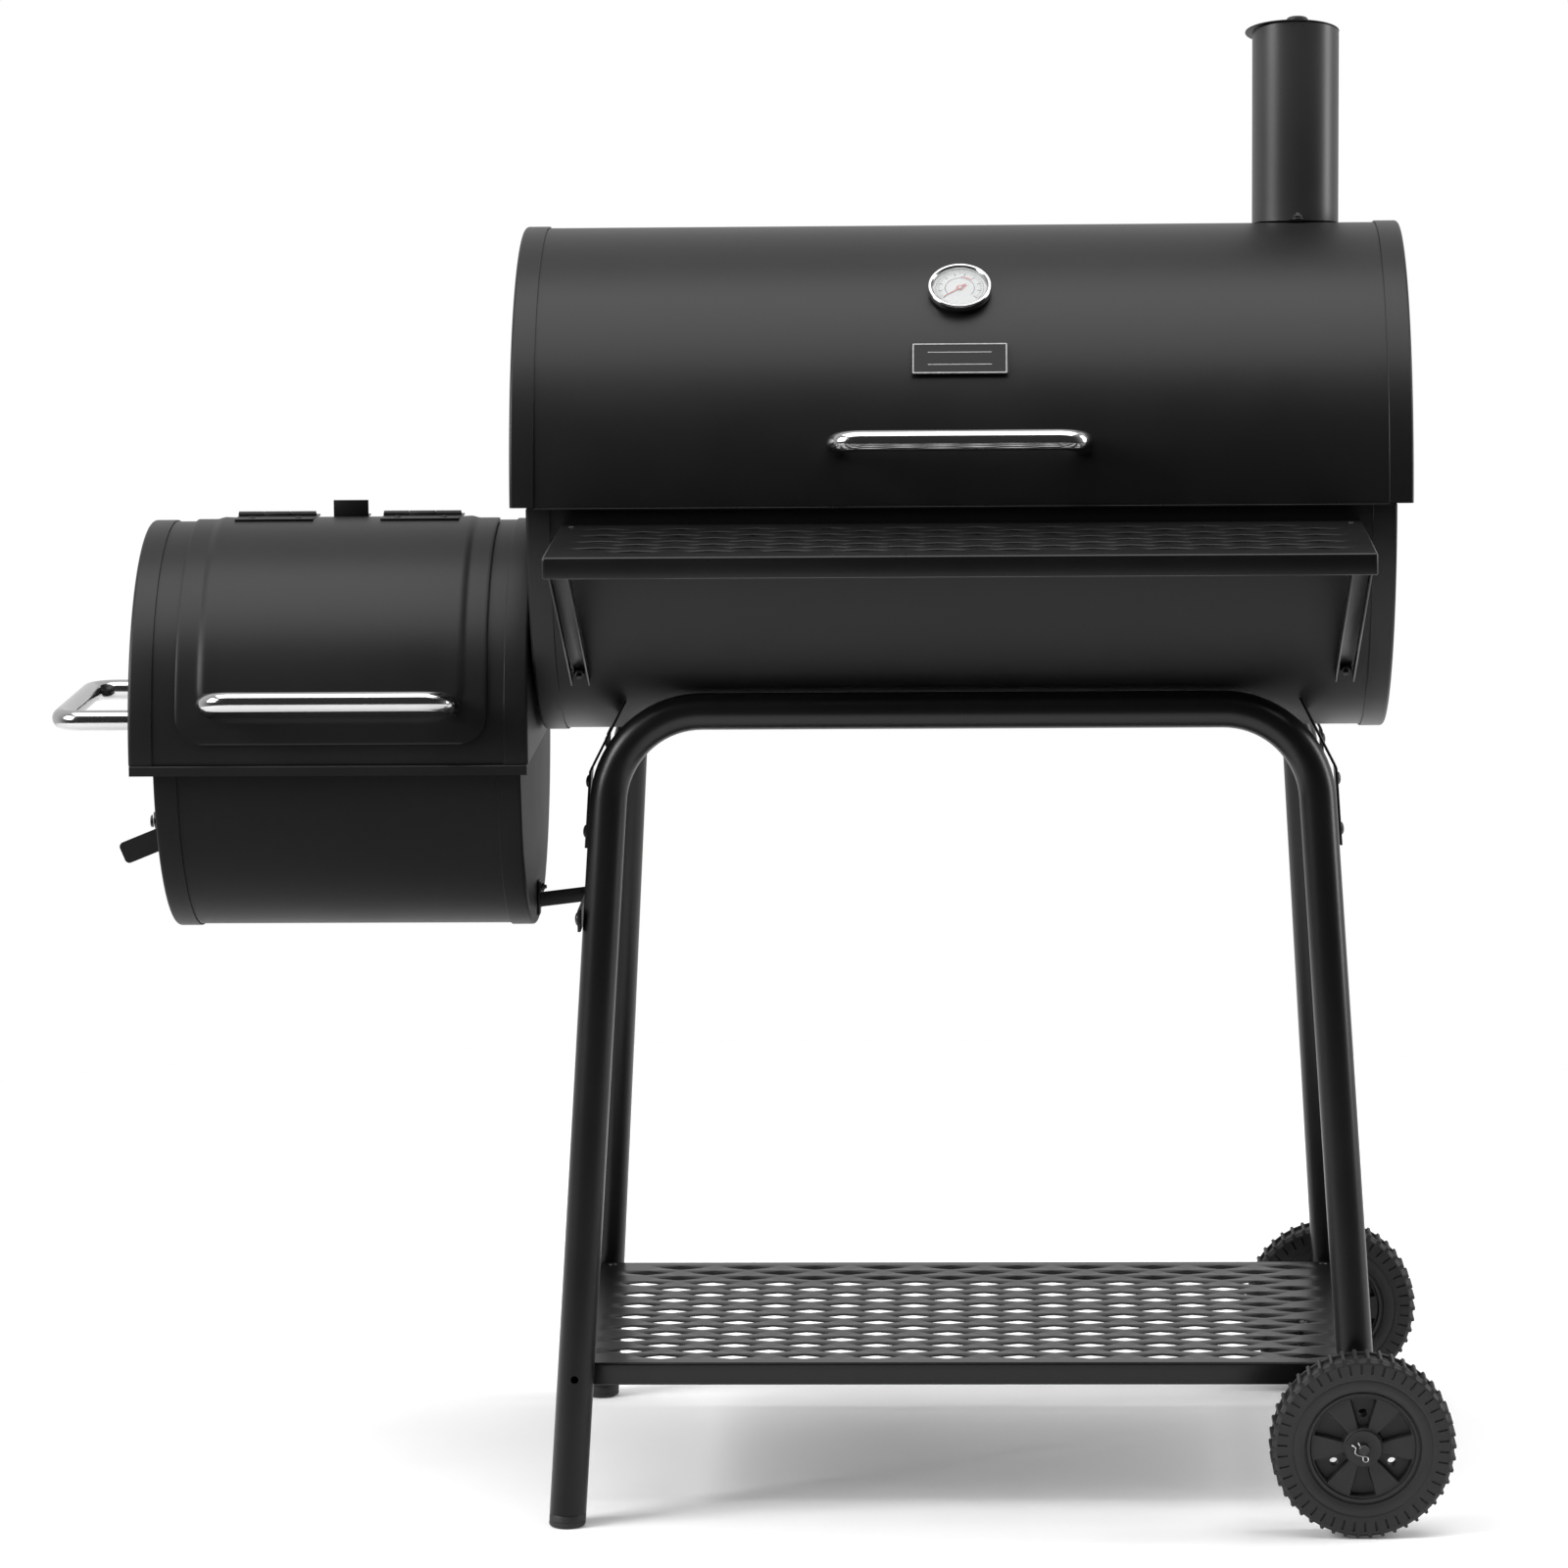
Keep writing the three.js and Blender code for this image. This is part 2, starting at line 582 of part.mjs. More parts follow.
function fireboxHood() {
  const skirt = THREE.MathUtils.radToDeg(Math.asin(hoodSkirt / hoodSheet));
  const x0 = hoodLeft + capWall + gap;
  const x1 = hoodRight - capWall - gap;
  const sheet = rolledSheet(hoodSheet, sheetWall, -skirt, 180 + skirt, x0, x1);
  const half = mouthLength / 2;
  const mouthAngles = [180 - mouthTopAngle, 180 - mouthLowAngle];
  const sector = sectorShape(hoodRadius - 20, hoodRadius + 20, ...mouthAngles);
  const mouth = slabX(sector, doorMiddle - half, doorMiddle + half, 12);
  place(firebox, "firebox_hood", cut(sheet, mouth), blackPaint);
  const capSkirt = THREE.MathUtils.radToDeg(Math.asin(hoodSkirt / hoodRadius));
  const cap = { radius: hoodRadius, rim: hoodRim, from: -capSkirt, to: 180 + capSkirt };
  const port = { z: portZ - fireboxAxisZ, radius: portRadius };
  place(firebox, "hood_end_left", endCap({ ...cap, face: hoodLeft, inward: 1 }), blackPaint);
  place(firebox, "hood_end_right", endCap({ ...cap, face: hoodRight, inward: -1, port }), blackPaint);
  const length = fireboxGap + 2 * capWall + 8;
  const collar = cut(
    bar("x", portRadius - gap, length, [0, 0, 0], 24),
    bar("x", portRadius - gap - sheetWall, length + 2, [0, 0, 0], 24),
  );
  const ring = place(firebox, "port_collar", collar, blackPaint);
  ring.position.set(-bodyHalf - fireboxGap / 2, 0, portZ - fireboxAxisZ);
}

function fireboxDoor() {
  const half = doorLength / 2;
  const turns = [180 - doorTopAngle, 180 - doorLowAngle];
  const curved = rolledSheet(doorRadius + sheetWall, sheetWall, ...turns, -half, half, 24);
  // the plan outline with round lower corners, seen from the front, trims the curved sheet
  const reach = doorRadius + 20; // the outline's prism runs past the door at the top, front and back
  const cornerX = half - doorCornerRadius;
  const cornerZ = doorRadius * Math.sin(radians(doorLowAngle)) - 1 + doorCornerRadius;
  const outline = new THREE.Shape();
  outline.moveTo(-half, reach);
  outline.lineTo(-half, cornerZ);
  outline.absarc(-cornerX, cornerZ, doorCornerRadius, Math.PI, 1.5 * Math.PI, false);
  outline.absarc(cornerX, cornerZ, doorCornerRadius, 1.5 * Math.PI, 2 * Math.PI, false);
  outline.lineTo(half, reach);
  outline.closePath();
  const options = { depth: 2 * reach, bevelEnabled: false, curveSegments: 4 };
  const prism = new THREE.ExtrudeGeometry(outline, options);
  prism.rotateX(Math.PI / 2).translate(0, reach, 0);
  const door = place(firebox, "firebox_door", common(curved, prism), blackPaint);
  door.position.x = doorMiddle;
  const handle = place(firebox, "door_handle", handleTubeGeometry(handleSpan, handleReach), chrome);
  handle.position.x = doorMiddle;
  onRound(handle, doorHandleAngle, doorRadius + sheetWall + gap);
  doorHinges();
  doorStop();
}

// An angle on the hood's crown that holds the open door.
function doorStop() {
  const half = doorStopWidth / 2;
  const [front, back] = [16, 40];
  const foot = hoodRadius + 0.2;
  const flat = boxBetween([-half, front, foot], [half, back, foot + sheetWall]);
  const upright = boxBetween([-half, front, foot], [half, front + 1.8, hoodRadius + doorStopHeight]);
  place(firebox, "door_stop", join(flat, upright), blackPaint).position.x = doorMiddle;
}

function doorHinges() {
  const third = doorHingeLength / 3;
  const axisZ = doorHingeZ - fireboxAxisZ;
  const leafReach = 32; // from the hinge's axis to a leaf's far edge
  const leafWall = 1.5;
  const pin = 1.3;
  const [low, leafTop] = [hoodRadius + gap, doorRadius + sheetWall + gap + leafWall];
  for (const [side, name] of [[-1, "left"], [1, "right"]]) {
    const middle = doorMiddle + (side * doorHingeSpan) / 2;
    const x0 = middle - doorHingeLength / 2;
    const x1 = middle + doorHingeLength / 2;
    const knuckle = (x, length) => bar("x", doorKnuckleRadius, length, [x, doorHingeY, axisZ], 12);
    const fixedLeaf = boxBetween([x0, doorHingeY + 4, low], [x1, doorHingeY + leafReach, low + leafWall]);
    const arm = (x) => boxBetween([x, doorHingeY, low], [x + third - 1, doorHingeY + 5, axisZ]);
    const fixed = join(
      fixedLeaf,
      arm(x0),
      arm(x1 - third + 1),
      knuckle(middle - third, third - 1),
      knuckle(middle + third, third - 1),
      bar("x", pin, doorHingeLength, [middle, doorHingeY, axisZ], 8),
    );
    place(firebox, `door_hinge_base_${name}`, fixed, blackPaint);
    const under = leafTop - leafWall;
    const leaf = boxBetween([x0, doorHingeY - leafReach, under], [x1, doorHingeY - 4, leafTop]);
    const tongue = boxBetween(
      [middle - third / 2, doorHingeY - 5, under],
      [middle + third / 2, doorHingeY, leafTop],
    );
    const pinHole = bar("x", pin + gap, 60, [middle, doorHingeY, axisZ], 8);
    const eye = cut(join(knuckle(middle, third), tongue), pinHole);
    place(firebox, `door_hinge_leaf_${name}`, join(leaf, eye), blackPaint);
  }
}

function fireboxFittings() {
  const handle = place(firebox, "side_handle", handleTubeGeometry(handleSpan, sideHandleReach), chrome);
  handle.rotation.set(0, -Math.PI / 2, 0);
  handle.rotateZ(Math.PI / 2);
  handle.position.set(hoodLeft - gap, 0, sideHandleLift);

  // the damper: a round plate with three holes, its front edge folded out into a finger tab
  const plateX = panLeft - gap;
  const plate = bar("x", damperRadius, sheetWall, [plateX - sheetWall / 2, 0, 0], 24);
  const tab = boxBetween([-damperTabLength, -0.9, -damperTabWidth / 2], [0, 0.9, damperTabWidth / 2]);
  tab.rotateY(radians(-damperTabDroop)).translate(plateX + 1, 2.5 - damperRadius, -damperTabDrop);
  const beyond = boxBetween([plateX, -60, -90], [plateX + 60, 60, 90]);
  const turned = 40; // degrees that the damper stands turned from wide open
  const bore = bar("x", damperPivotRadius + gap, 20, [plateX, 0, 0], 10);
  const damper = cut(join(cut(plate, ...damperVents(plateX, turned)), cut(tab, beyond)), bore);
  place(firebox, "air_damper", damper, blackPaint).position.z = -damperDrop;

  // its pivot screw, which holds a spring under a round head
  const spring = 26;
  const outside = plateX - sheetWall - gap;
  const shank = bar("x", damperPivotRadius, spring + 12, [outside - spring / 2 + 4, 0, 0], 10);
  const head = bar("x", 6.5, 3, [outside - spring, 0, 0], 12);
  const coil = bar("x", 5, spring - 1.5, [outside - spring / 2, 0, 0], 12);
  const nut = bar("x", 6, 4, [panLeft + capWall + gap + 2, 0, 0], 6);
  place(firebox, "damper_screw", join(shank, head, coil, nut), zinc).position.z = -damperDrop;
}

// Three round holes about the damper's pivot, as tools to cut with.
function damperVents(x, turned) {
  return [-120, 0, 120].map((angle) => {
    const at = radians(angle + turned);
    const [y, z] = [damperHoleCircle * Math.sin(at), damperHoleCircle * Math.cos(at)];
    return bar("x", damperHoleRadius, 20, [x, y, z], 12);
  });
}

// ---------------------------------------------------------------- stand
const standReach = 900; // past every piece of the stand

// A quarter of the stand: half a cross rail, a bend and a leg, cut off level at the bottom.
function standQuarter(sideX, sideY, bottom) {
  const past = 60; // the leg's line runs on below the floor before it is cut
  const knee = new THREE.Vector3(sideX * kneeHalfX, sideY * railHalfY, railZ);
  const start = new THREE.Vector3(sideX * gap, sideY * railHalfY, railZ);
  const end = new THREE.Vector3(sideX * legX(-past), sideY * legY(-past), -past);
  const tube = sweptTube(roundedStations([start, knee, end], bendRadius, 6), tubeRadius, tubeWall, 12);
  const below = boxBetween([-standReach, -standReach, -200], [standReach, standReach, bottom]);
  const axleHole = bar("y", axleRadius + axleClearance, 800, [axleX, 0, axleZ], 12);
  return cut(tube, below, axleHole);
}

function footCap(sideX, sideY) {
  const top = footCapHeight - gap;
  const ends = [-30, 40].map((z) => new THREE.Vector3(sideX * legX(z), sideY * legY(z), z));
  const round = new THREE.Shape().absarc(0, 0, tubeRadius, 0, 2 * Math.PI, false);
  const plug = new THREE.ExtrudeGeometry(round, {
    extrudePath: new StationPath(ends),
    steps: 1,
    curveSegments: 6,
  });
  return common(plug, boxBetween([-standReach, -standReach, 0], [standReach, standReach, top]));
}

function stand() {
  for (const [sideY, depthName] of [[-1, "front"], [1, "back"]]) {
    place(smoker, `stand_tube_${depthName}_left`, standQuarter(-1, sideY, footCapHeight), tubePaint);
    const cutHeight = axleZ - legBelowAxle;
    place(smoker, `stand_tube_${depthName}_right`, standQuarter(1, sideY, cutHeight), tubePaint);
    place(smoker, `foot_cap_${depthName}_left`, footCap(-1, sideY), plastic);
    for (const [sideX, name] of [[-1, "left"], [1, "right"]]) {
      place(smoker, `barrel_bracket_${depthName}_${name}`, barrelBracket(sideX, sideY), blackPaint);
    }
  }
}

// A strap behind a leg's outer side, bent in behind the knee to meet the underside of the barrel.
function barrelBracket(sideX, sideY) {
  const width = 30;
  const wall = 2.5;
  const lean = 0.45; // how much the upper part leans in for each mm up
  const lowZ = barrelAxisZ - bracketDrop;
  const bendZ = railZ - bendRadius + 30;
  const topZ = barrelAxisZ - 100; // inside the barrel, where the strap is cut away
  const near = (z) => legY(z) - tubeRadius - 0.5;
  const side = new THREE.Shape();
  side.moveTo(sideY * near(lowZ), lowZ);
  side.lineTo(sideY * near(topZ), topZ);
  side.lineTo(sideY * (near(topZ) - width), topZ);
  side.lineTo(sideY * (near(lowZ) - width), lowZ);
  side.closePath();
  const inner = (z) => legX(z) + tubeRadius + 1 - lean * Math.max(0, z - bendZ);
  const front = new THREE.Shape();
  front.moveTo(sideX * inner(lowZ), lowZ);
  for (const z of [bendZ, topZ]) front.lineTo(sideX * inner(z), z);
  for (const z of [topZ, bendZ, lowZ]) front.lineTo(sideX * (inner(z) + wall), z);
  front.closePath();
  const strip = new THREE.ExtrudeGeometry(front, { depth: 2 * standReach, bevelEnabled: false });
  strip.rotateX(Math.PI / 2).translate(0, standReach, 0);
  const strap = common(slabX(side, -standReach, standReach), strip);
  return cut(strap, barrelRound());
}

// The barrel's outside with a little air, as a tool to cut with.
function barrelRound() {
  return bar("x", bodyRadius + gap, 1000, [0, 0, barrelAxisZ], 48);
}

// ---------------------------------------------------------------- shelves
// A perforated tray, its top at z = 0, lips turned down all round.
function perforatedTray(length, depth, lip, rows) {
  const [halfX, halfY] = [length / 2, depth / 2];
  const block = boxBetween([-halfX, -halfY, -lip], [halfX, halfY, 0]);
  const hollow = boxBetween(
    [-halfX + sheetWall, -halfY + sheetWall, -lip - 5],
    [halfX - sheetWall, halfY - sheetWall, -sheetWall],
  );
  const firstRow = -((rows - 1) * diamondRowPitch) / 2;
  const firstColumn = -((diamondsPerRow - 0.5) * diamondPitch) / 2;
  const diamonds = [];
  for (let row = 0; row < rows; row++) {
    for (let i = 0; i < diamondsPerRow; i++) {
      const x = firstColumn + i * diamondPitch + (row % 2 ? 0 : diamondPitch / 2);
      diamonds.push(diamondPrism(x, firstRow + row * diamondRowPitch));
    }
  }
  return cut(block, hollow, ...diamonds);
}

function diamondPrism(x, y) {
  const outline = new THREE.Shape();
  outline.moveTo(x - diamondLength / 2, y);
  outline.lineTo(x, y - diamondWidth / 2);
  outline.lineTo(x + diamondLength / 2, y);
  outline.lineTo(x, y + diamondWidth / 2);
  outline.closePath();
  return new THREE.ExtrudeGeometry(outline, { depth: 10, bevelEnabled: false }).translate(0, 0, -5);
}

function shelves() {
  const bottom = perforatedTray(bottomShelfLength, bottomShelfDepth, shelfLip, bottomShelfRows);
  place(smoker, "bottom_shelf", bottom, tubePaint).position.z = bottomShelfTop;
  const tray = perforatedTray(frontShelfLength, frontShelfDepth, frontShelfLip, frontShelfRows);
  tray.translate(0, -frontShelfDepth / 2, 0);
  const shelf = place(smoker, "front_shelf", tray, tubePaint);
  shelf.rotation.x = radians(frontShelfTilt);
  shelf.position.set(0, -bodyRadius - gap, frontShelfBackZ);
  for (const [side, name] of [[-1, "left"], [1, "right"]]) {
    place(smoker, `shelf_strut_${name}`, strut(side), tubePaint);
  }
}

// A channel from under the shelf's front down to the barrel, its flanges turned towards the front.
function strut(side) {
  const headBack = 40; // its head behind the shelf's front edge and below its top
  const headDrop = 12;
  const spare = 15; // run on past each end, then cut to fit
  const [footY, footZ] = radial(-strutFootAngle, bodyRadius);
  const foot = [footY, barrelAxisZ + footZ];
  const head = [-bodyRadius - frontShelfDepth + headBack, frontShelfBackZ - headDrop];
  const [dy, dz] = [head[0] - foot[0], head[1] - foot[1]];
  const length = Math.hypot(dy, dz);
  const section = new THREE.Shape();
  const [half, wall] = [strutWidth / 2, 1.8];
  section.moveTo(-half, 0);
  section.lineTo(half, 0);
  section.lineTo(half, -strutDepth);
  section.lineTo(half - wall, -strutDepth);
  section.lineTo(half - wall, -wall);
  section.lineTo(-half + wall, -wall);
  section.lineTo(-half + wall, -strutDepth);
  section.lineTo(-half, -strutDepth);
  section.closePath();
  const channel = new THREE.ExtrudeGeometry(section, { depth: length + 2 * spare, bevelEnabled: false });
  channel.translate(0, 0, -spare).rotateX(Math.atan2(-dy, dz));
  channel.translate(side * strutHalfX, foot[0], foot[1]);
  const lipBack = -frontShelfDepth + sheetWall + gap;
  const trayParts = join(
    boxBetween([-500, lipBack - 50, -sheetWall - gap], [500, 40, 60]),
    boxBetween([-500, lipBack - 50, -60], [500, lipBack, 60]),
  );
  trayParts.rotateX(radians(frontShelfTilt)).translate(0, -bodyRadius - gap, frontShelfBackZ);
  return cut(channel, barrelRound(), trayParts);
}

// ---------------------------------------------------------------- axle and wheels
function runningGear() {
  const endY = wheelOuterY + 8;
  const rod = bar("y", axleRadius, 2 * endY, [axleX, 0, axleZ], 16);
  const pinHoles = [-1, 1].map((side) => bar("x", 1.6, 20, [axleX, side * (endY - 4), axleZ], 8));
  place(smoker, "axle", cut(rod, ...pinHoles), zinc);
  for (const [side, name] of [[-1, "front"], [1, "back"]]) {
    const profile = [
      [axleRadius + axleClearance, -wheelWidth / 2],
      [wheelHubRadius, -wheelWidth / 2],
      [wheelHubRadius, -6],
      [wheelRimRadius, -6],
      [wheelRimRadius + 3, -wheelWidth / 2 + 1],
      [wheelRadius - 5, -wheelWidth / 2 + 1],
      [wheelRadius, -wheelWidth / 2 + 6],
      [wheelRadius, wheelWidth / 2 - 6],
      [wheelRadius - 5, wheelWidth / 2 - 1],
      [wheelRimRadius + 3, wheelWidth / 2 - 1],
      [wheelRimRadius, 6],
      [wheelHubRadius, 6],
      [wheelHubRadius, wheelWidth / 2],
      [axleRadius + axleClearance, wheelWidth / 2],
      [axleRadius + axleClearance, -wheelWidth / 2],
    ].map(([r, y]) => new THREE.Vector2(r, y));
    const wheel = place(smoker, `wheel_${name}`, new THREE.LatheGeometry(profile, 24), plastic);
    wheel.position.set(axleX, side * (wheelOuterY - wheelWidth / 2), axleZ);
    const clip = bar("x", 1.3, 34, [axleX, side * (endY - 4), axleZ], 8);
    place(smoker, `axle_clip_${name}`, clip, chrome);
  }
}

// ---------------------------------------------------------------- firebox stay
function stay() {
  const outerX = legX(tieZ) + tubeRadius + 1.5;
  const halfY = legY(tieZ) + 14;
  const tie = new THREE.BoxGeometry(tieWall, 2 * halfY, tieHeight);
  place(smoker, "stand_tie", tie.translate(-outerX - tieWall / 2, 0, tieZ), blackPaint);
  const right = -outerX - tieWall - gap;
  const left = panRight + gap;
  const lowZ = tieZ - tieHeight / 2 - 8;
  const rise = 6;
  const outline = new THREE.Shape();
  outline.moveTo(left, lowZ);
  outline.lineTo(right, lowZ + rise);
  outline.lineTo(right, lowZ + rise + stayHeight);
  outline.lineTo(left, lowZ + stayHeight);
  outline.closePath();
  const web = new THREE.ExtrudeGeometry(outline, { depth: 2, bevelEnabled: false }).rotateX(Math.PI / 2);
  const foot = boxBetween([left, -12, lowZ - 6], [left + 2, 4, lowZ + stayHeight + 12]);
  const toe = boxBetween([right - 2, -2, lowZ + rise], [right, 16, lowZ + rise + stayHeight]);
  place(smoker, "firebox_stay", join(web, foot, toe), blackPaint);
}

barrelBody();
barrelGrates();
lid();
lidHinges();
lidFittings();
stack();
fireboxPan();
fireboxHood();
fireboxDoor();
fireboxFittings();
stand();
shelves();
runningGear();
stay();

// The part's origin is on the floor under the middle of its outer box.
smoker.updateMatrixWorld(true);
const middle = new THREE.Box3().setFromObject(smoker, true).getCenter(new THREE.Vector3());
smoker.position.set(-middle.x, -middle.y, 0);

export default smoker;
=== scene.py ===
"""Offset smoker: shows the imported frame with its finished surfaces, small hardware and studio light."""
import json
from math import acos, asin, ceil, copysign, cos, degrees, hypot, pi, radians, sin, sqrt, tan

import bmesh  # noqa: E402
import bpy  # noqa: E402
from mathutils import Matrix, Vector  # noqa: E402

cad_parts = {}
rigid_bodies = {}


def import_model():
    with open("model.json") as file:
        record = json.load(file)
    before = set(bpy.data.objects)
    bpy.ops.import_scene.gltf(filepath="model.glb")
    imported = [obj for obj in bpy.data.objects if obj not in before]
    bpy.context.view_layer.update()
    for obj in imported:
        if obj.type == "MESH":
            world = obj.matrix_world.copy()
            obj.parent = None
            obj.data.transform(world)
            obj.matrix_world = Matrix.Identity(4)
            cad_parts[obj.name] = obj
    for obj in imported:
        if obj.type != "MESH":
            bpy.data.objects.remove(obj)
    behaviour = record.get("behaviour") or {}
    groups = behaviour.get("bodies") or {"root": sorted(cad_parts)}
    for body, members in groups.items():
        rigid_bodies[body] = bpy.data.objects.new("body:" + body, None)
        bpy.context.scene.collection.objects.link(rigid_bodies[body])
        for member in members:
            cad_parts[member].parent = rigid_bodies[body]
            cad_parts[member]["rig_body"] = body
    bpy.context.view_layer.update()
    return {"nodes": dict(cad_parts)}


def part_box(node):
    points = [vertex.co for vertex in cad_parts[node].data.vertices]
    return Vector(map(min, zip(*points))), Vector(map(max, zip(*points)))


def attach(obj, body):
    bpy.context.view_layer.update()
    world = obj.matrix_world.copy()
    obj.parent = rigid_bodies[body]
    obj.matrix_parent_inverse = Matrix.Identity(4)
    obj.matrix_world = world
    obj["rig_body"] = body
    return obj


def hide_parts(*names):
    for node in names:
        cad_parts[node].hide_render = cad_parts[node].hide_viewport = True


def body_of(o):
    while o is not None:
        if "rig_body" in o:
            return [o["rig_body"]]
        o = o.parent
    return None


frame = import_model()
scene = bpy.context.scene

# ------------------------------------------------------------------ sizes, in millimetres
# The work is done about the barrel: X from its middle, Y from its axis, Z from the floor.
MM = 0.001


def node_box(name):
    low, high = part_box(name)
    return low / MM, high / MM


lid_low, lid_high = node_box("lid_end_left")
lid_sheet_low, lid_sheet_high = node_box("lid_sheet")
OFFSET = Vector(((lid_sheet_low.x + lid_sheet_high.x) / 2, (lid_low.y + lid_high.y) / 2, 0))


def about_barrel(name):
    low, high = node_box(name)
    return low - OFFSET, high - OFFSET


GAP = 0.3
SHEET = 1.5
CAP = 1.2
AXIS_Z = about_barrel("lid_end_left")[0].z
LID_R = (lid_high.y - lid_low.y) / 2
LID_HALF = about_barrel("lid_end_right")[1].x
LID_OVER = 8
BODY_R = LID_R - LID_OVER
BODY_HALF = about_barrel("barrel_end_right")[1].x
RIM = 22
HOOD_DROP, PORT_DROP = 231, 128
HOOD_Z = AXIS_Z - HOOD_DROP
HOOD_R = (node_box("hood_end_left")[1].y - node_box("hood_end_left")[0].y) / 2
HOOD_LEFT = about_barrel("hood_end_left")[0].x
HOOD_RIGHT = about_barrel("hood_end_right")[1].x
HOOD_SKIRT = HOOD_OVER = 9
PAN_R = HOOD_R - HOOD_OVER
PAN_LEFT = about_barrel("firebox_end_left")[0].x
PAN_RIGHT = about_barrel("firebox_end_right")[1].x
PORT_Z = AXIS_Z - PORT_DROP
PORT_R = 55
door_low, door_high = about_barrel("firebox_door")
DOOR_X = (door_low.x + door_high.x) / 2
DOOR_HALF = (door_high.x - door_low.x) / 2
DOOR_R = HOOD_R + GAP
DOOR_HINGE_SPAN = 137.5
MOUTH_HALF = 125
DAMPER_Z = HOOD_Z - 90
VENT_R, VENT_CIRCLE, VENT_TURN = 11, 25, 40
STACK = (314, 52)
STACK_R = 40.5
STACK_RISE = 413
SLANT = radians(16)
TUBE_R = 17
RAIL_Y = 152
RAIL_BEND = 87
KNEE_X = 321
FOOT_X, FOOT_Y = 368, 244
RAIL_Z = AXIS_Z - sqrt((BODY_R + GAP + TUBE_R) ** 2 - RAIL_Y**2)
WHEEL_R = 84.7
WHEEL_Y = 293
WHEEL_WIDTH = 38
AXLE_Z = WHEEL_R
HANDLE_R = 9.5
HANDLE_BEND = 24
HANDLE_SPAN = 222
LID_HINGE_X = 260
STRUT_X = 350
SIDES = ((-1, "left"), (1, "right"))
DEPTHS = ((-1, "front"), (1, "back"))
THERMO_ANGLE = 51
PLATE_ANGLE = 32.5


def leg_at(z):
    """(X, Y) of a leg's centre line at a height."""
    return FOOT_X - (FOOT_X - KNEE_X) * z / RAIL_Z, FOOT_Y - (FOOT_Y - RAIL_Y) * z / RAIL_Z


# ------------------------------------------------------------------ materials
def node_material(name):
    material = bpy.data.materials.new(name)
    material.use_nodes = True
    nodes, links = material.node_tree.nodes, material.node_tree.links
    return material, nodes, links, nodes["Principled BSDF"]


def add(nodes, kind, **values):
    """A new node with its inputs set; an underscore in a name stands for a space."""
    node = nodes.new("ShaderNode" + kind)
    for name, value in values.items():
        node.inputs[name.replace("_", " ")].default_value = value
    return node


def add_ramp(nodes, *stops):
    """A colour ramp with two stops of (position, colour)."""
    node = nodes.new("ShaderNodeValToRGB")
    for element, (position, colour) in zip(node.color_ramp.elements, stops):
        element.position = position
        element.color = (*colour, 1)
    return node


def varied(name, dark, light, rough, metallic=0.0, grain=900, grain_height=0.02, blotch=9, specular=0.5):
    """A finish whose colour and gloss drift a little, with a fine grain in its surface."""
    material, nodes, links, shader = node_material(name)
    shader.inputs["Metallic"].default_value = metallic
    shader.inputs["Specular IOR Level"].default_value = specular
    source = nodes.new("ShaderNodeTexCoord").outputs["Object"]
    drift = add(nodes, "TexNoise", Scale=blotch, Detail=5)
    links.new(source, drift.inputs["Vector"])
    ramp = add_ramp(nodes, (0.3, dark), (0.7, light))
    links.new(drift.outputs["Fac"], ramp.inputs["Fac"])
    links.new(ramp.outputs["Color"], shader.inputs["Base Color"])
    gloss = add(nodes, "MapRange", To_Min=rough[0], To_Max=rough[1])
    links.new(drift.outputs["Fac"], gloss.inputs["Value"])
    links.new(gloss.outputs["Result"], shader.inputs["Roughness"])
    fine = add(nodes, "TexNoise", Scale=grain, Detail=3)
    links.new(source, fine.inputs["Vector"])
    bump = add(nodes, "Bump", Strength=1.0, Distance=grain_height * MM)
    links.new(fine.outputs["Fac"], bump.inputs["Height"])
    links.new(bump.outputs["Normal"], shader.inputs["Normal"])
    return material


def grey(value):
    return (value, value, value)


ENAMEL = varied(
    "black_enamel", grey(0.0055), grey(0.0075), (0.36, 0.43), grain=1400, grain_height=0.006, specular=0.24
)
FRAME = varied(
    "frame_enamel", grey(0.0045), grey(0.0065), (0.28, 0.35), grain=1100, grain_height=0.006, specular=0.3
)
# painted shade: a darker, less glossy copy of the black enamel for the pan and its ends, standing in for
# the floor reflection they should not show
PAN_PAINTED_SHADE = varied(
    "pan_enamel_painted_shade", grey(0.004), grey(0.0055), (0.42, 0.5), grain=1400, grain_height=0.006, specular=0.09
)
# painted reflection: the black enamel lightened for the stack, so its paler base colour stands in for light
# reflected by the pipe
STACK_PAINTED_REFLECTION = varied(
    "stack_enamel_painted_reflection", grey(0.026), grey(0.031), (0.32, 0.4), grain=1400, grain_height=0.006, specular=0.36
)
IRON = varied(
    "grate_iron", (0.03, 0.028, 0.027), (0.05, 0.047, 0.045), (0.5, 0.68), grain=700, grain_height=0.06
)
INSIDE = varied("inner_enamel", grey(0.012), grey(0.02), (0.5, 0.6), grain=900, grain_height=0.02)
CHROME = varied("chrome", grey(0.44), grey(0.5), (0.11, 0.16), metallic=1.0, grain=500, grain_height=0.001)
ZINC = varied(
    "zinc_steel", (0.42, 0.43, 0.45), (0.58, 0.59, 0.6), (0.26, 0.4), metallic=1.0, blotch=160,
    grain_height=0.01
)
DARK_BOLT = varied(
    "dark_bolt", grey(0.02), grey(0.045), (0.28, 0.42), metallic=0.6, blotch=120, grain_height=0.01
)
DIAL = varied("dial_white", grey(0.34), grey(0.38), (0.5, 0.6), grain=2500, grain_height=0.002)
INK = varied("dial_ink", grey(0.012), grey(0.02), (0.5, 0.6), grain=2500, grain_height=0.002)
RED = varied(
    "needle_red", (0.24, 0.008, 0.008), (0.3, 0.014, 0.012), (0.35, 0.45), grain=2500, grain_height=0.002
)
RUBBER = varied(
    "black_plastic", grey(0.0125), grey(0.018), (0.5, 0.62), grain=1600, grain_height=0.02, specular=0.4
)
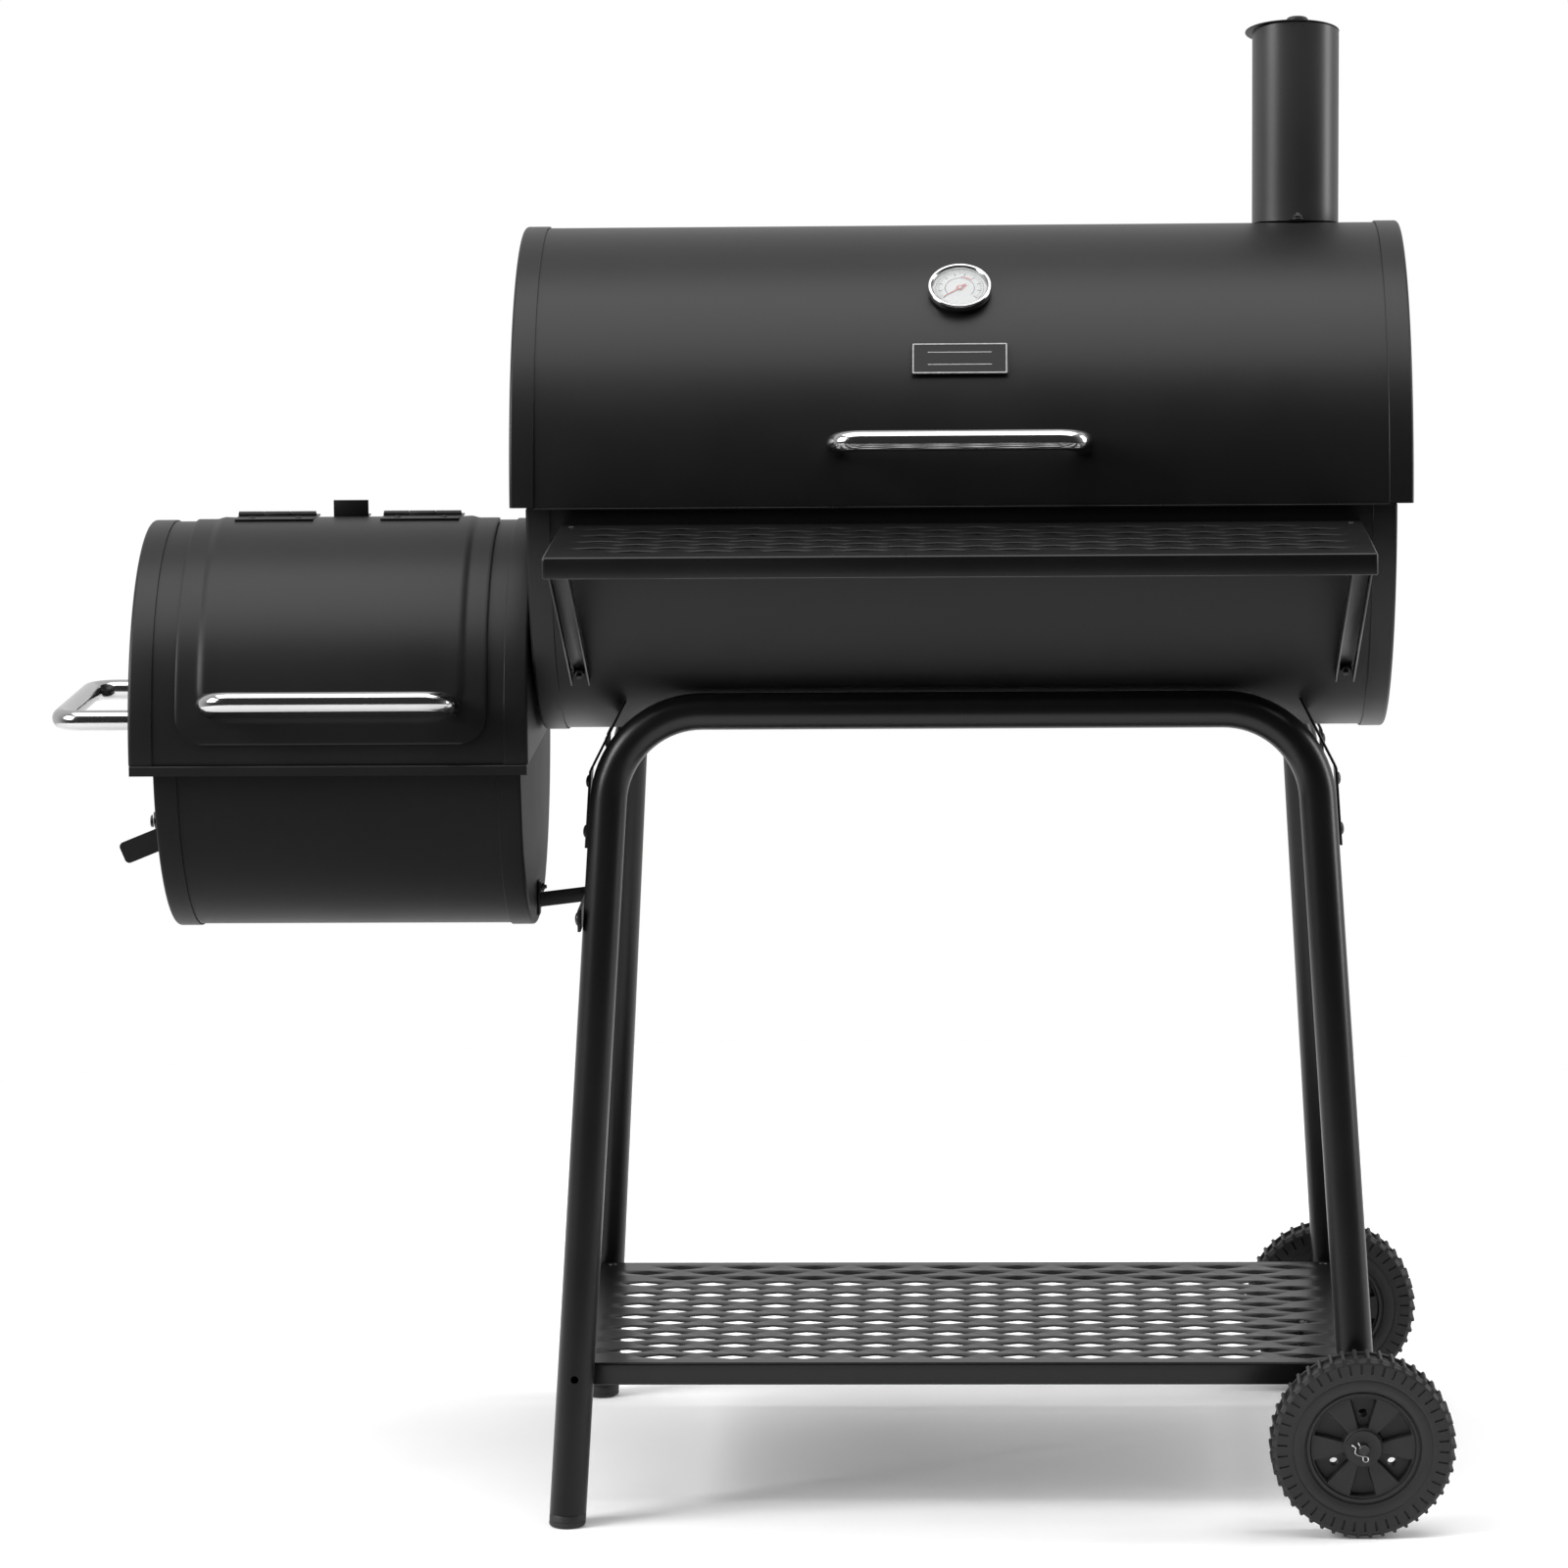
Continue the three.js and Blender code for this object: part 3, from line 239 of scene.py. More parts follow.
PLATE = varied(
    "plate_gloss", grey(0.006), grey(0.01), (0.3, 0.38), grain=1800, grain_height=0.003, specular=0.22
)
SILVER = varied(
    "plate_silver", grey(0.16), grey(0.22), (0.22, 0.3), metallic=1.0, blotch=200, grain_height=0.003
)


def glass():
    material, nodes, links, shader = node_material("lens_glass")
    shader.inputs["Alpha"].default_value = 0.1
    shader.inputs["Specular IOR Level"].default_value = 0.06
    where = nodes.new("ShaderNodeTexCoord")
    haze = add(nodes, "TexNoise", Scale=60)
    links.new(where.outputs["Object"], haze.inputs["Vector"])
    gloss = add(nodes, "MapRange", To_Min=0.03, To_Max=0.07)
    links.new(haze.outputs["Fac"], gloss.inputs["Value"])
    links.new(gloss.outputs["Result"], shader.inputs["Roughness"])
    tint = add_ramp(nodes, (0, (0.9, 0.93, 0.94)), (1, (0.96, 0.98, 0.98)))
    links.new(haze.outputs["Fac"], tint.inputs["Fac"])
    links.new(tint.outputs["Color"], shader.inputs["Base Color"])
    return material


GLASS = glass()
# every frame node's slots take the black enamel, apart from these
NODE_FINISH = {
    "charcoal_grate": IRON,
    "cooking_grate_left": IRON,
    "cooking_grate_right": IRON,
    "fire_grate": IRON,
    "bottom_shelf": FRAME,
    "front_shelf": FRAME,
    "shelf_strut_left": FRAME,
    "shelf_strut_right": FRAME,
}


# ------------------------------------------------------------------ mesh tools
def finish(name, shape, material, body, nodes=(), crease=32, weld=0.004, facing_set=False):
    """Turns a bmesh in millimetres about the barrel into a finished piece that rides on a body."""
    if not facing_set:
        bmesh.ops.remove_doubles(shape, verts=shape.verts, dist=weld)
        bmesh.ops.recalc_face_normals(shape, faces=shape.faces)
    for vertex in shape.verts:
        vertex.co = (vertex.co + OFFSET) * MM
    mesh = bpy.data.meshes.new(name)
    shape.to_mesh(mesh)
    shape.free()
    mesh.materials.append(material)
    mesh.shade_smooth()
    mesh.set_sharp_from_angle(angle=radians(crease))
    piece = bpy.data.objects.new(name, mesh)
    scene.collection.objects.link(piece)
    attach(piece, body)
    # Blender numbers a name that the frame already has, after a dot
    if nodes:
        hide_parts(*nodes)
    return piece


def loft(rings, around=True, ends=True, loop=False, shape=None):
    """Skins rings of points; around closes each ring, loop joins the last ring to the first."""
    if shape is None:
        shape = bmesh.new()
    rows = [[shape.verts.new(p) for p in ring] for ring in rings]
    pairs = list(zip(rows, rows[1:])) + ([(rows[-1], rows[0])] if loop else [])
    count = len(rings[0])
    for a, b in pairs:
        for i in range(count if around else count - 1):
            j = (i + 1) % count
            shape.faces.new((a[i], a[j], b[j], b[i]))
    if ends and around and not loop:
        shape.faces.new(rows[0])
        shape.faces.new(rows[-1][::-1])
    return shape


def lathe(profile, place, steps, shape=None):
    """Turns a profile of (radius, height) about local Z."""
    rings = []
    for i in range(steps):
        angle = 2 * pi * i / steps
        turn = Matrix.Rotation(angle, 4, "Z")
        rings.append([place @ (turn @ Vector((r, 0, h))) for r, h in profile])
    closed = profile[0] == profile[-1]
    return loft(
        [ring[:-1] if closed else ring for ring in rings], around=closed, ends=False, loop=True, shape=shape
    )


def circle(radius, count):
    angles = [2 * pi * i / count for i in range(count)]
    return [Vector((radius * cos(a), radius * sin(a))) for a in angles]


def round_rect(width, height, radius, steps=5):
    points = []
    for quarter, (sx, sy) in enumerate(((1, 1), (-1, 1), (-1, -1), (1, -1))):
        for i in range(steps + 1):
            a = pi / 2 * (quarter + i / steps)
            x, y = sx * (width / 2 - radius), sy * (height / 2 - radius)
            points.append(Vector((x + radius * cos(a), y + radius * sin(a))))
    return points


def inset(outline, distance):
    """The outline moved inwards by a distance, for outlines that run anticlockwise."""
    count, moved = len(outline), []
    for i, point in enumerate(outline):
        before = (point - outline[i - 1]).normalized()
        after = (outline[(i + 1) % count] - point).normalized()
        normal = (Vector((-before.y, before.x)) + Vector((-after.y, after.x))).normalized()
        lean = max(0.35, normal.dot(Vector((-before.y, before.x))))
        moved.append(point + normal * distance / lean)
    return moved


def plate(outline, thickness, place, edge, shape=None):
    """A flat plate on local Z = 0 with eased edges."""
    small = inset(outline, edge)
    levels = [(small, 0), (outline, edge), (outline, thickness - edge), (small, thickness)]
    return loft([[place @ Vector((p.x, p.y, z)) for p in ring] for ring, z in levels], shape=shape)


def swept(path, radius, sides, wall=None, level=None):
    """A round tube along a path. With a wall it's open-ended; level trims its last ring to that height."""
    tangents = []
    for i in range(len(path)):
        ahead = path[min(i + 1, len(path) - 1)] - path[max(i - 1, 0)]
        tangents.append(ahead.normalized())
    side = tangents[0].orthogonal().normalized()
    outer, inner = [], []
    for i, (point, along) in enumerate(zip(path, tangents)):
        side = (side - along * side.dot(along)).normalized()
        across = along.cross(side)
        for rings, r in ((outer, radius), (inner, radius - (wall or 0))):
            ring = []
            for k in range(sides):
                angle = 2 * pi * k / sides
                p = point + side * r * cos(angle) + across * r * sin(angle)
                if level is not None and i == len(path) - 1:
                    p += along * (level - p.z) / along.z
                ring.append(p)
            rings.append(ring)
    if wall is None:
        return loft(outer)
    return loft(outer + inner[::-1], ends=False, loop=True)


def rounded(corners, radius, steps):
    """A path through corners, with each inner corner turned into an arc."""
    path = [corners[0]]
    for i in range(1, len(corners) - 1):
        back = (corners[i - 1] - corners[i]).normalized()
        ahead = (corners[i + 1] - corners[i]).normalized()
        half = back.angle(ahead) / 2
        centre = corners[i] + (back + ahead).normalized() * radius / sin(half)
        start = corners[i] + back * radius / tan(half) - centre
        axis = back.cross(start).normalized()
        for s in range(steps + 1):
            path.append(Matrix.Rotation((pi - 2 * half) * s / steps, 3, axis) @ start + centre)
    path.append(corners[-1])
    return path


def spread(path, most):
    """The path with long straights split, so that no step is longer than most."""
    points = [path[0]]
    for a, b in zip(path, path[1:]):
        cuts = max(1, ceil((b - a).length / most))
        points += [a.lerp(b, k / cuts) for k in range(1, cuts + 1)]
    return points


def on_round(angle, radius, x=0.0, centre=AXIS_Z):
    """Local Z stands out from a round chamber, local X runs along it; angles rise from the front."""
    a = radians(angle)
    out = Vector((0, -cos(a), sin(a)))
    up = Vector((0, sin(a), cos(a)))
    turn = Matrix((Vector((1, 0, 0)), up, out)).transposed().to_4x4()
    return Matrix.Translation(Vector((x, 0, centre)) + out * radius) @ turn


def facing(direction, at):
    """Local Z points along a direction, from a point."""
    return Matrix.Translation(at) @ Vector(direction).to_track_quat("Z", "Y").to_matrix().to_4x4()


def arcs(profile, start, stop, steps, centre):
    """A profile of (x, radius) carried round a chamber's axis from one angle to another."""
    rings = []
    for i in range(steps + 1):
        a = radians(start + (stop - start) * i / steps)
        rings.append([Vector((x, -r * cos(a), centre + r * sin(a))) for x, r in profile])
    return loft(rings)


def along_x(outline, start, stop):
    """A closed (y, z) outline drawn along X."""
    return loft([[Vector((x, p.x, p.y)) for p in outline] for x in (start, stop)])


def trim(shape, at, normal):
    """Cuts away what lies on the normal's side of a plane and closes the cut."""
    geometry = list(shape.verts) + list(shape.edges) + list(shape.faces)
    done = bmesh.ops.bisect_plane(shape, geom=geometry, plane_co=at, plane_no=normal, clear_outer=True)
    rims = [e for e in done["geom_cut"] if isinstance(e, bmesh.types.BMEdge)]
    bmesh.ops.contextual_create(shape, geom=rims)


def carve(piece, *cutters):
    """Cuts cutter shapes (bmesh, millimetres about the barrel) out of a piece."""
    for cutter in cutters:
        bmesh.ops.remove_doubles(cutter, verts=cutter.verts, dist=0.004)
        bmesh.ops.recalc_face_normals(cutter, faces=cutter.faces)
        for vertex in cutter.verts:
            vertex.co = (vertex.co + OFFSET) * MM
        mesh = bpy.data.meshes.new("cutter")
        cutter.to_mesh(mesh)
        cutter.free()
        tool = bpy.data.objects.new("cutter", mesh)
        scene.collection.objects.link(tool)
        modifier = piece.modifiers.new("cut", "BOOLEAN")
        modifier.solver = "EXACT"
        modifier.object = tool
        bpy.context.view_layer.update()
        cut = bpy.data.meshes.new_from_object(piece.evaluated_get(bpy.context.evaluated_depsgraph_get()))
        piece.modifiers.clear()
        piece.data = cut
        bpy.data.objects.remove(tool)
    piece.data.shade_smooth()
    piece.data.set_sharp_from_angle(angle=radians(32))


def rod(radius, a, b, sides):
    """A closed round bar between two points."""
    a, b = Vector(a), Vector(b)
    place = facing(b - a, a)
    outline = circle(radius, sides)
    return loft([[place @ Vector((p.x, p.y, z)) for p in outline] for z in (0, (b - a).length)])


def refined(node, ease):
    """A CAD node's own shape, its flat faces made whole and its edges eased."""
    source = frame["nodes"][node]
    shape = bmesh.new()
    shape.from_mesh(source.data)
    for vertex in shape.verts:
        vertex.co = vertex.co / MM - OFFSET
    bmesh.ops.remove_doubles(shape, verts=shape.verts, dist=0.02)
    bmesh.ops.dissolve_limit(shape, angle_limit=radians(1), verts=shape.verts, edges=shape.edges)
    sharp = [e for e in shape.edges if e.is_manifold and e.calc_face_angle(0) > radians(32)]
    bmesh.ops.bevel(
        shape, geom=sharp, offset=ease, segments=2, profile=0.5, affect="EDGES", clamp_overlap=True
    )
    body = body_of(source)[0]
    finish("fine_" + node, shape, NODE_FINISH.get(node, ENAMEL), body, [node], crease=40)


# ------------------------------------------------------------------ small hardware
def nut(name, place, body, across=8.0, height=5.0, washer=0.0, shank=0.0):
    """A hexagon nut with its washer and the end of its bolt."""
    shape = bmesh.new()
    if washer:
        lathe(
            [(0, 0), (washer - 0.4, 0), (washer, 0.3), (washer, 1.0), (washer - 0.4, 1.3), (0, 1.3)], place,
            32, shape=shape
        )
    lift = Matrix.Translation((0, 0, 1.3 if washer else 0))
    plate(circle(across / 2 / cos(pi / 6), 6), height, place @ lift, 0.7, shape=shape)
    if shank:
        top = height + (1.3 if washer else 0)
        r = across * 0.28
        lathe(
            [(r, top - 1), (r, top + shank - 0.6), (r - 0.6, top + shank), (0, top + shank)], place, 20,
            shape=shape
        )
    finish(name, shape, DARK_BOLT, body, crease=25)


def dome(name, place, body, radius, height, material=ENAMEL):
    """A pan-shaped rivet or bolt head."""
    steps = 7
    profile = [(0, 0), (radius * 0.96, 0), (radius, 0.3)]
    profile += [
        (radius * cos(pi / 2 * i / steps), 0.3 + (height - 0.3) * sin(pi / 2 * i / steps))
        for i in range(1, steps + 1)
    ]
    finish(name, lathe(profile, place, 28), material, body)


# ------------------------------------------------------------------ pressed ends and rolled sheets
def end_cap(name, radius, face, inward, centre, cut_at, above, body, node, ports=(), material=ENAMEL):
    """A pressed end with a softly rounded rim, cut off level through the chamber."""
    soft, steps = 3.2, 6
    profile = [(0, face), (radius - soft - 0.6, face)]
    for i in range(steps + 1):
        a = pi / 2 * i / steps
        profile.append((radius - soft + soft * sin(a), face + inward * (soft - soft * cos(a))))
    edge, inner = face + inward * RIM, face + inward * CAP
    profile += [(radius, edge - inward * 0.4), (radius - 0.3, edge), (radius - CAP, edge)]
    profile += [(radius - CAP, inner), (0, inner)]
    shape = lathe(profile, facing((1, 0, 0), (0, 0, centre)), 144)
    bmesh.ops.remove_doubles(shape, verts=shape.verts, dist=0.004)
    trim(shape, Vector((0, 0, cut_at)), Vector((0, 0, -1 if above else 1)))
    carve(finish(name, shape, material, body, [node]), *ports)


def port_cutter(x):
    return rod(PORT_R, (x - 10, 0, PORT_Z), (x + 10, 0, PORT_Z), 64)


def vent_cutters(x, turned=0):
    """Three round holes about the damper's pivot, turned by some degrees."""
    angles = [radians(120 * i + turned) for i in (-1, 0, 1)]
    centres = [(VENT_CIRCLE * sin(a), DAMPER_Z + VENT_CIRCLE * cos(a)) for a in angles]
    return [rod(VENT_R, (x - 9, y, z), (x + 9, y, z), 32) for y, z in centres]


def sheet_arc(radius, start, stop, x0, x1, centre, steps=96):
    """A rolled sheet of the common thickness with a seam of fine light along each end."""
    profile = [
        (x0, radius - SHEET), (x0, radius - 0.3), (x0 + 0.3, radius), (x1 - 0.3, radius), (x1, radius - 0.3)
    ]
    return arcs(profile + [(x1, radius - SHEET)], start, stop, steps, centre)


def trough(radius, top, reach, centre, steps=80):
    """The (y, z) outline of a half-round body with a hem folded out along each side."""
    outer, inner = [], []
    turn = asin((centre - top + SHEET / 2) / radius)
    for i in range(steps + 1):
        a = turn + (pi - 2 * turn) * i / steps
        outer.append(Vector((-radius * cos(a), centre - radius * sin(a))))
        inner.append(Vector((-(radius - SHEET) * cos(a), centre - (radius - SHEET) * sin(a))))
    low = top - SHEET
    outer[0].y = outer[-1].y = low
    # anticlockwise in (y, z): over the front hem, down the outside, round to the back, and back inside
    front = [(-abs(inner[0].x), top), (-reach + 0.3, top), (-reach, top - 0.3), (-reach, low)]
    front = [Vector(p) for p in front]
    back = [Vector((-p.x, p.y)) for p in reversed(front)]
    return front + outer + back + [Vector(p) for p in reversed(inner[1:-1])]


def chambers():
    end_cap("lid_cap_left", LID_R, -LID_HALF, 1, AXIS_Z, AXIS_Z, True, "main_lid", "lid_end_left")
    end_cap("lid_cap_right", LID_R, LID_HALF, -1, AXIS_Z, AXIS_Z, True, "main_lid", "lid_end_right")
    low = AXIS_Z - 2.4
    port = port_cutter(-BODY_HALF)
    end_cap("body_cap_left", BODY_R, -BODY_HALF, 1, AXIS_Z, low, False, "root", "barrel_end_left", [port])
    end_cap("body_cap_right", BODY_R, BODY_HALF, -1, AXIS_Z, low, False, "root", "barrel_end_right")
    inside = LID_HALF - CAP - GAP
    sheet = sheet_arc(LID_R - CAP - GAP, 0.1, 179.9, -inside, inside, AXIS_Z, 144)
    lid = finish("lid_shell", sheet, ENAMEL, "main_lid", ["lid_sheet"])
    carve(lid, rod(STACK_R - CAP, (*STACK, AXIS_Z + 100), (*STACK, AXIS_Z + 300), 64))
    inside = BODY_HALF - CAP - GAP
    body_sheet = BODY_R - CAP - GAP
    outline = trough(body_sheet, AXIS_Z - GAP, BODY_R + 7.5, AXIS_Z)
    shell = along_x(outline, -inside, inside)
    finish("body_shell", shell, ENAMEL, "root", ["barrel_sheet"])
    ledge_z = AXIS_Z - 30 - GAP
    for side, name in DEPTHS:
        outer = sqrt(body_sheet**2 - 30**2) - SHEET / 2 - 1
        ys = sorted((side * outer, side * (outer - 13)))
        half = BODY_HALF - RIM - 8
        shape = plate(
            round_rect(2 * half, ys[1] - ys[0], 2), SHEET,
            Matrix.Translation((0, sum(ys) / 2, ledge_z - SHEET)), 0.3
        )
        finish("grate_ledge_" + name, shape, INSIDE, "root")

    # firebox: the hood with its mouth, its ends, and the pan with its flanges
    skirt = degrees(asin(HOOD_SKIRT / HOOD_R))
    hood_low = HOOD_Z - HOOD_SKIRT
    left, right = HOOD_LEFT + CAP + GAP, HOOD_RIGHT - CAP - GAP
    sheet = sheet_arc(HOOD_R - CAP - GAP, -skirt, 180 + skirt, left, right, HOOD_Z, 128)
    hood = finish("hood_shell", sheet, ENAMEL, "root", ["firebox_hood"])
    mouth = [
        (DOOR_X - MOUTH_HALF, HOOD_R - 20), (DOOR_X - MOUTH_HALF, HOOD_R + 20),
        (DOOR_X + MOUTH_HALF, HOOD_R + 20), (DOOR_X + MOUTH_HALF, HOOD_R - 20),
    ]
    carve(hood, arcs(mouth, 16, 78, 32, HOOD_Z))
    end_cap("hood_cap_left", HOOD_R, HOOD_LEFT, 1, HOOD_Z, hood_low, True, "root", "hood_end_left")
    end_cap(
        "hood_cap_right", HOOD_R, HOOD_RIGHT, -1, HOOD_Z, hood_low, True, "root", "hood_end_right",
        [port_cutter(HOOD_RIGHT)]
    )
    pan_top = hood_low - GAP
    x0, x1 = PAN_LEFT + CAP + GAP, PAN_RIGHT - CAP - GAP
    pan_sheet = PAN_R - CAP - GAP
    turn = degrees(asin((HOOD_SKIRT + GAP) / pan_sheet)) + 0.1
    pan = sheet_arc(pan_sheet, 180 + turn, 360 - turn, x0, x1, HOOD_Z)
    # the pan shell takes the darker enamel copy, which is painted shade
    finish("pan_shell", pan, PAN_PAINTED_SHADE, "root", ["firebox_pan"])
    near, reach = pan_sheet - 2.5, HOOD_R + 2
    fold = [
        (-reach, -9), (-reach + SHEET, -9), (-reach + SHEET, -SHEET), (-near, -SHEET), (-near, 0),
        (-reach + 0.6, 0), (-reach, -0.6)
    ]
    fold = [Vector((y, pan_top + z)) for y, z in fold]
    for name, outline in (("front", fold), ("back", [Vector((-p.x, p.y)) for p in reversed(fold)])):
        flange = along_x(outline, HOOD_LEFT + 1, HOOD_RIGHT - 1)
        finish("pan_flange_" + name, flange, ENAMEL, "root")
    cap_low = pan_top - SHEET - GAP
    vents = vent_cutters(PAN_LEFT)
    end_cap(
        "pan_cap_left", PAN_R, PAN_LEFT, 1, HOOD_Z, cap_low, False, "root", "firebox_end_left", vents, PAN_PAINTED_SHADE
    )
    end_cap(
        "pan_cap_right", PAN_R, PAN_RIGHT, -1, HOOD_Z, cap_low, False, "root", "firebox_end_right", (), PAN_PAINTED_SHADE
    )
    collar = [
        (PORT_R - GAP, -7), (PORT_R - GAP, 7), (PORT_R - GAP - SHEET, 7), (PORT_R - GAP - SHEET, -7),
        (PORT_R - GAP, -7)
    ]
    ring = lathe(collar, facing((1, 0, 0), (-BODY_HALF - 2, 0, PORT_Z)), 64)
    finish("smoke_collar", ring, INSIDE, "root", ["port_collar"])


# ------------------------------------------------------------------ firebox door
def smooth(value):
    t = min(1.0, max(0.0, value))
    return t * t * (3 - 2 * t)


def door():
    """A curved panel with round lower corners and a raised field pressed inside its edges."""
    low, high, corner = radians(3), radians(89.5), 26
    bead, field_corner = 22, 30
    columns = [-DOOR_HALF + DOOR_HALF * (1 - cos(pi * i / 40)) for i in range(41)]
    for centre in (-DOOR_HALF + bead, DOOR_HALF - bead):
        columns += [centre + d for d in (-4.5, -3, -1.5, 0, 1.5, 3, 4.5)]
    columns = sorted(columns)
    rows = 90
    outer, inner = [], []
    for x in columns:
        edge = DOOR_HALF - abs(x)
        lift = corner - sqrt(max(0, corner**2 - (corner - edge) ** 2)) if edge < corner else 0
        start = low + lift / DOOR_R
        col_out, col_in = [], []
        for k in range(rows + 1):
            # rows crowd towards the lower edge, where the field's corners are
            t = (k / rows) ** 1.25
            a = start + (high - start) * t
            up = (a - low) * DOOR_R
            dx, dy = field_corner - (edge - bead), field_corner - (up - bead)
            if dx > 0 and dy > 0:
                inside = field_corner - hypot(dx, dy)
            else:
                inside = min(edge - bead, up - bead)
            rise = 1.5 * smooth((inside + 3.5) / 7) + 0.35 * smooth(1 - abs(inside - 5.5) / 4)
            ease = 0.5 * smooth(1 - min(edge, up + 0.4) / 1.2) if min(edge, up) < 1.2 else 0
            r = DOOR_R + SHEET + rise - ease
            col_out.append(Vector((DOOR_X + x, -r * cos(a), HOOD_Z + r * sin(a))))
            r = DOOR_R + max(0.0, rise - 0.4)
            col_in.append(Vector((DOOR_X + x, -r * cos(a), HOOD_Z + r * sin(a))))
        outer.append(col_out)
        inner.append(col_in)
    shape = loft([o + i[::-1] for o, i in zip(outer, inner)])
    finish("door_panel", shape, ENAMEL, "firebox_door", ["firebox_door"])
    place = on_round(13, DOOR_R + SHEET + GAP, DOOR_X, HOOD_Z)
    handle("door_grip", place, 48, "firebox_door", "door_handle")
    for side, name in SIDES:
        middle = DOOR_X + side * DOOR_HINGE_SPAN / 2
        refined(f"door_hinge_base_{name}", 0.3)
        refined(f"door_hinge_leaf_{name}", 0.3)
        top = HOOD_Z + DOOR_R + SHEET + GAP + 1.5
        for k in (-1, 1):
            at = Matrix.Translation((middle + k * 22, -13, top))
            dome(f"hinge_rivet_{name}_{k + 1}", at, "firebox_door", 3.2, 1.6)
            at = Matrix.Translation((middle + k * 22, 27, HOOD_Z + HOOD_R + GAP + 1.5))
            dome(f"hinge_screw_{name}_{k + 1}", at, "root", 3.2, 1.6)
    refined("door_stop", 0.4)


def handle(name, place, reach, body, node):
    """A bent tube with a flared seat at each foot."""
    half = HANDLE_SPAN / 2
    corners = [Vector(p) for p in ((-half, 0, 0.4), (-half, 0, reach), (half, 0, reach), (half, 0, 0.4))]
    path = [place @ p for p in spread(rounded(corners, HANDLE_BEND, 14), 12)]
    shape = swept(path, HANDLE_R, 32)
    finish(name, shape, CHROME, body, [node])


# ------------------------------------------------------------------ lid fittings
def lid_fittings():
    handle("lid_grip", on_round(12.6, LID_R + GAP, 0, AXIS_Z), 48, "main_lid", "lid_handle")
    place = on_round(PLATE_ANGLE, LID_R + GAP)
    finish("plate_face", plate(round_rect(87, 32, 1.2), 1.7, place, 0.3), PLATE, "main_lid", ["name_plate"])
    rim = Matrix.Translation((0, 0, 1.7))
    outer, inner = round_rect(85.4, 30.4, 1.0), round_rect(83.0, 28.0, 0.6)
    levels = ((outer, 0), (outer, 0.25), (inner, 0.25), (inner, 0))
    rings = [[place @ rim @ Vector((p.x, p.y, z)) for p in ring] for ring, z in levels]
    finish("plate_border", loft(rings, ends=False, loop=True), SILVER, "main_lid")
    for side in (-1, 1):
        bar = plate(
            round_rect(58, 0.9, 0.4, 3), 0.2, place @ rim @ Matrix.Translation((0, side * 6.2, 0)), 0.05
        )
        finish(f"plate_line_{side + 1}", bar, SILVER, "main_lid")

    place = on_round(THERMO_ANGLE, LID_R)
    case = [(0, -55), (4, -54.5), (4, 0.4), (26, 0.4), (28.2, 1.2), (29, 3), (29, 6.6)]
    case += [(29 - 1.3 + 1.3 * cos(a), 6.9 + 1.9 * sin(a)) for a in (0.4, 0.8, 1.2, 1.57)]
    case += [(26.4, 8.6), (25.2, 7.4), (24.7, 6.2), (24.7, 3), (0, 3)]
    finish("thermo_case", lathe(case, place, 96), CHROME, "main_lid", ["thermometer_case"])
    face = [(0, 3.4), (24.3, 3.4), (24.3, 4.3), (24.1, 4.5), (1.3, 4.5), (1.3, 6.2), (0, 6.3)]
    finish("thermo_face", lathe(face, place, 96), DIAL, "main_lid", ["thermometer_dial"])
    marks = bmesh.new()
    for i in range(37):
        angle = radians(220 - 260 * i / 36)
        long = i % 4 == 0
        length, width = (4.2, 1.0) if long else (2.2, 0.5)
        radius = 20.6 - length / 2
        turn = Matrix.Rotation(angle, 4, "Z") @ Matrix.Translation((radius, 0, 4.5))
        plate(round_rect(length, width, 0.1, 2), 0.1, place @ turn, 0.02, shape=marks)
    for r, start, stop, width in ((13.0, -40, 220, 0.7), (21.6, -40, 220, 0.5)):
        ring = []
        for i in range(61):
            a = radians(start + (stop - start) * i / 60)
            ring.append([
                place @ Vector((q * cos(a), q * sin(a), h))
                for q, h in ((r, 4.5), (r, 4.6), (r + width, 4.6), (r + width, 4.5))
            ])
        loft(ring, shape=marks)
    finish("thermo_marks", marks, INK, "main_lid", weld=0.0005)
    zone = []
    for i in range(31):
        a = radians(45 + 40 * i / 30)
        corners = ((14.2, 4.5), (14.2, 4.58), (15.6, 4.58), (15.6, 4.5))
        zone.append([place @ Vector((q * cos(a), q * sin(a), h)) for q, h in corners])
    finish("thermo_zone", loft(zone), RED, "main_lid", weld=0.0005)
    point = Matrix.Rotation(radians(-52), 4, "Z") @ Matrix.Translation((0, 0, 4.75))
    hand = [(-0.35, -18), (0.35, -18), (0.8, -2), (1.7, 1.5), (1.5, 7), (-1.5, 7), (-1.7, 1.5), (-0.8, -2)]
    needle = plate([Vector(p) for p in hand], 0.5, place @ point, 0.1)
    lathe(
        [(0, 0), (2.9, 0), (3.1, 0.3), (3.1, 0.8), (2.6, 1.1), (0, 1.15)], place @ point, 32, shape=needle
    )
    finish("thermo_needle", needle, RED, "needle", ["thermometer_needle"])
    lens = [(0, 7.0), (24.2, 7.0), (24.4, 7.2), (24.0, 7.7), (16, 8.1), (8, 8.3), (0, 8.35)]
    finish("thermo_glass", lathe(lens, place, 72), GLASS, "main_lid", ["thermometer_lens"])
    for side, name in SIDES:
        refined(f"lid_hinge_base_{name}", 0.4)
        refined(f"lid_hinge_leaf_{name}", 0.4)
        for k in (-1, 1):
            x = side * LID_HINGE_X + k * 16
            dome(f"lid_rivet_{name}_{k + 1}", on_round(171, LID_R + GAP + 2, x), "main_lid", 3.4, 1.8)
            dome(f"body_rivet_{name}_{k + 1}", on_round(189.5, BODY_R + 1.8, x), "root", 3.4, 1.8)


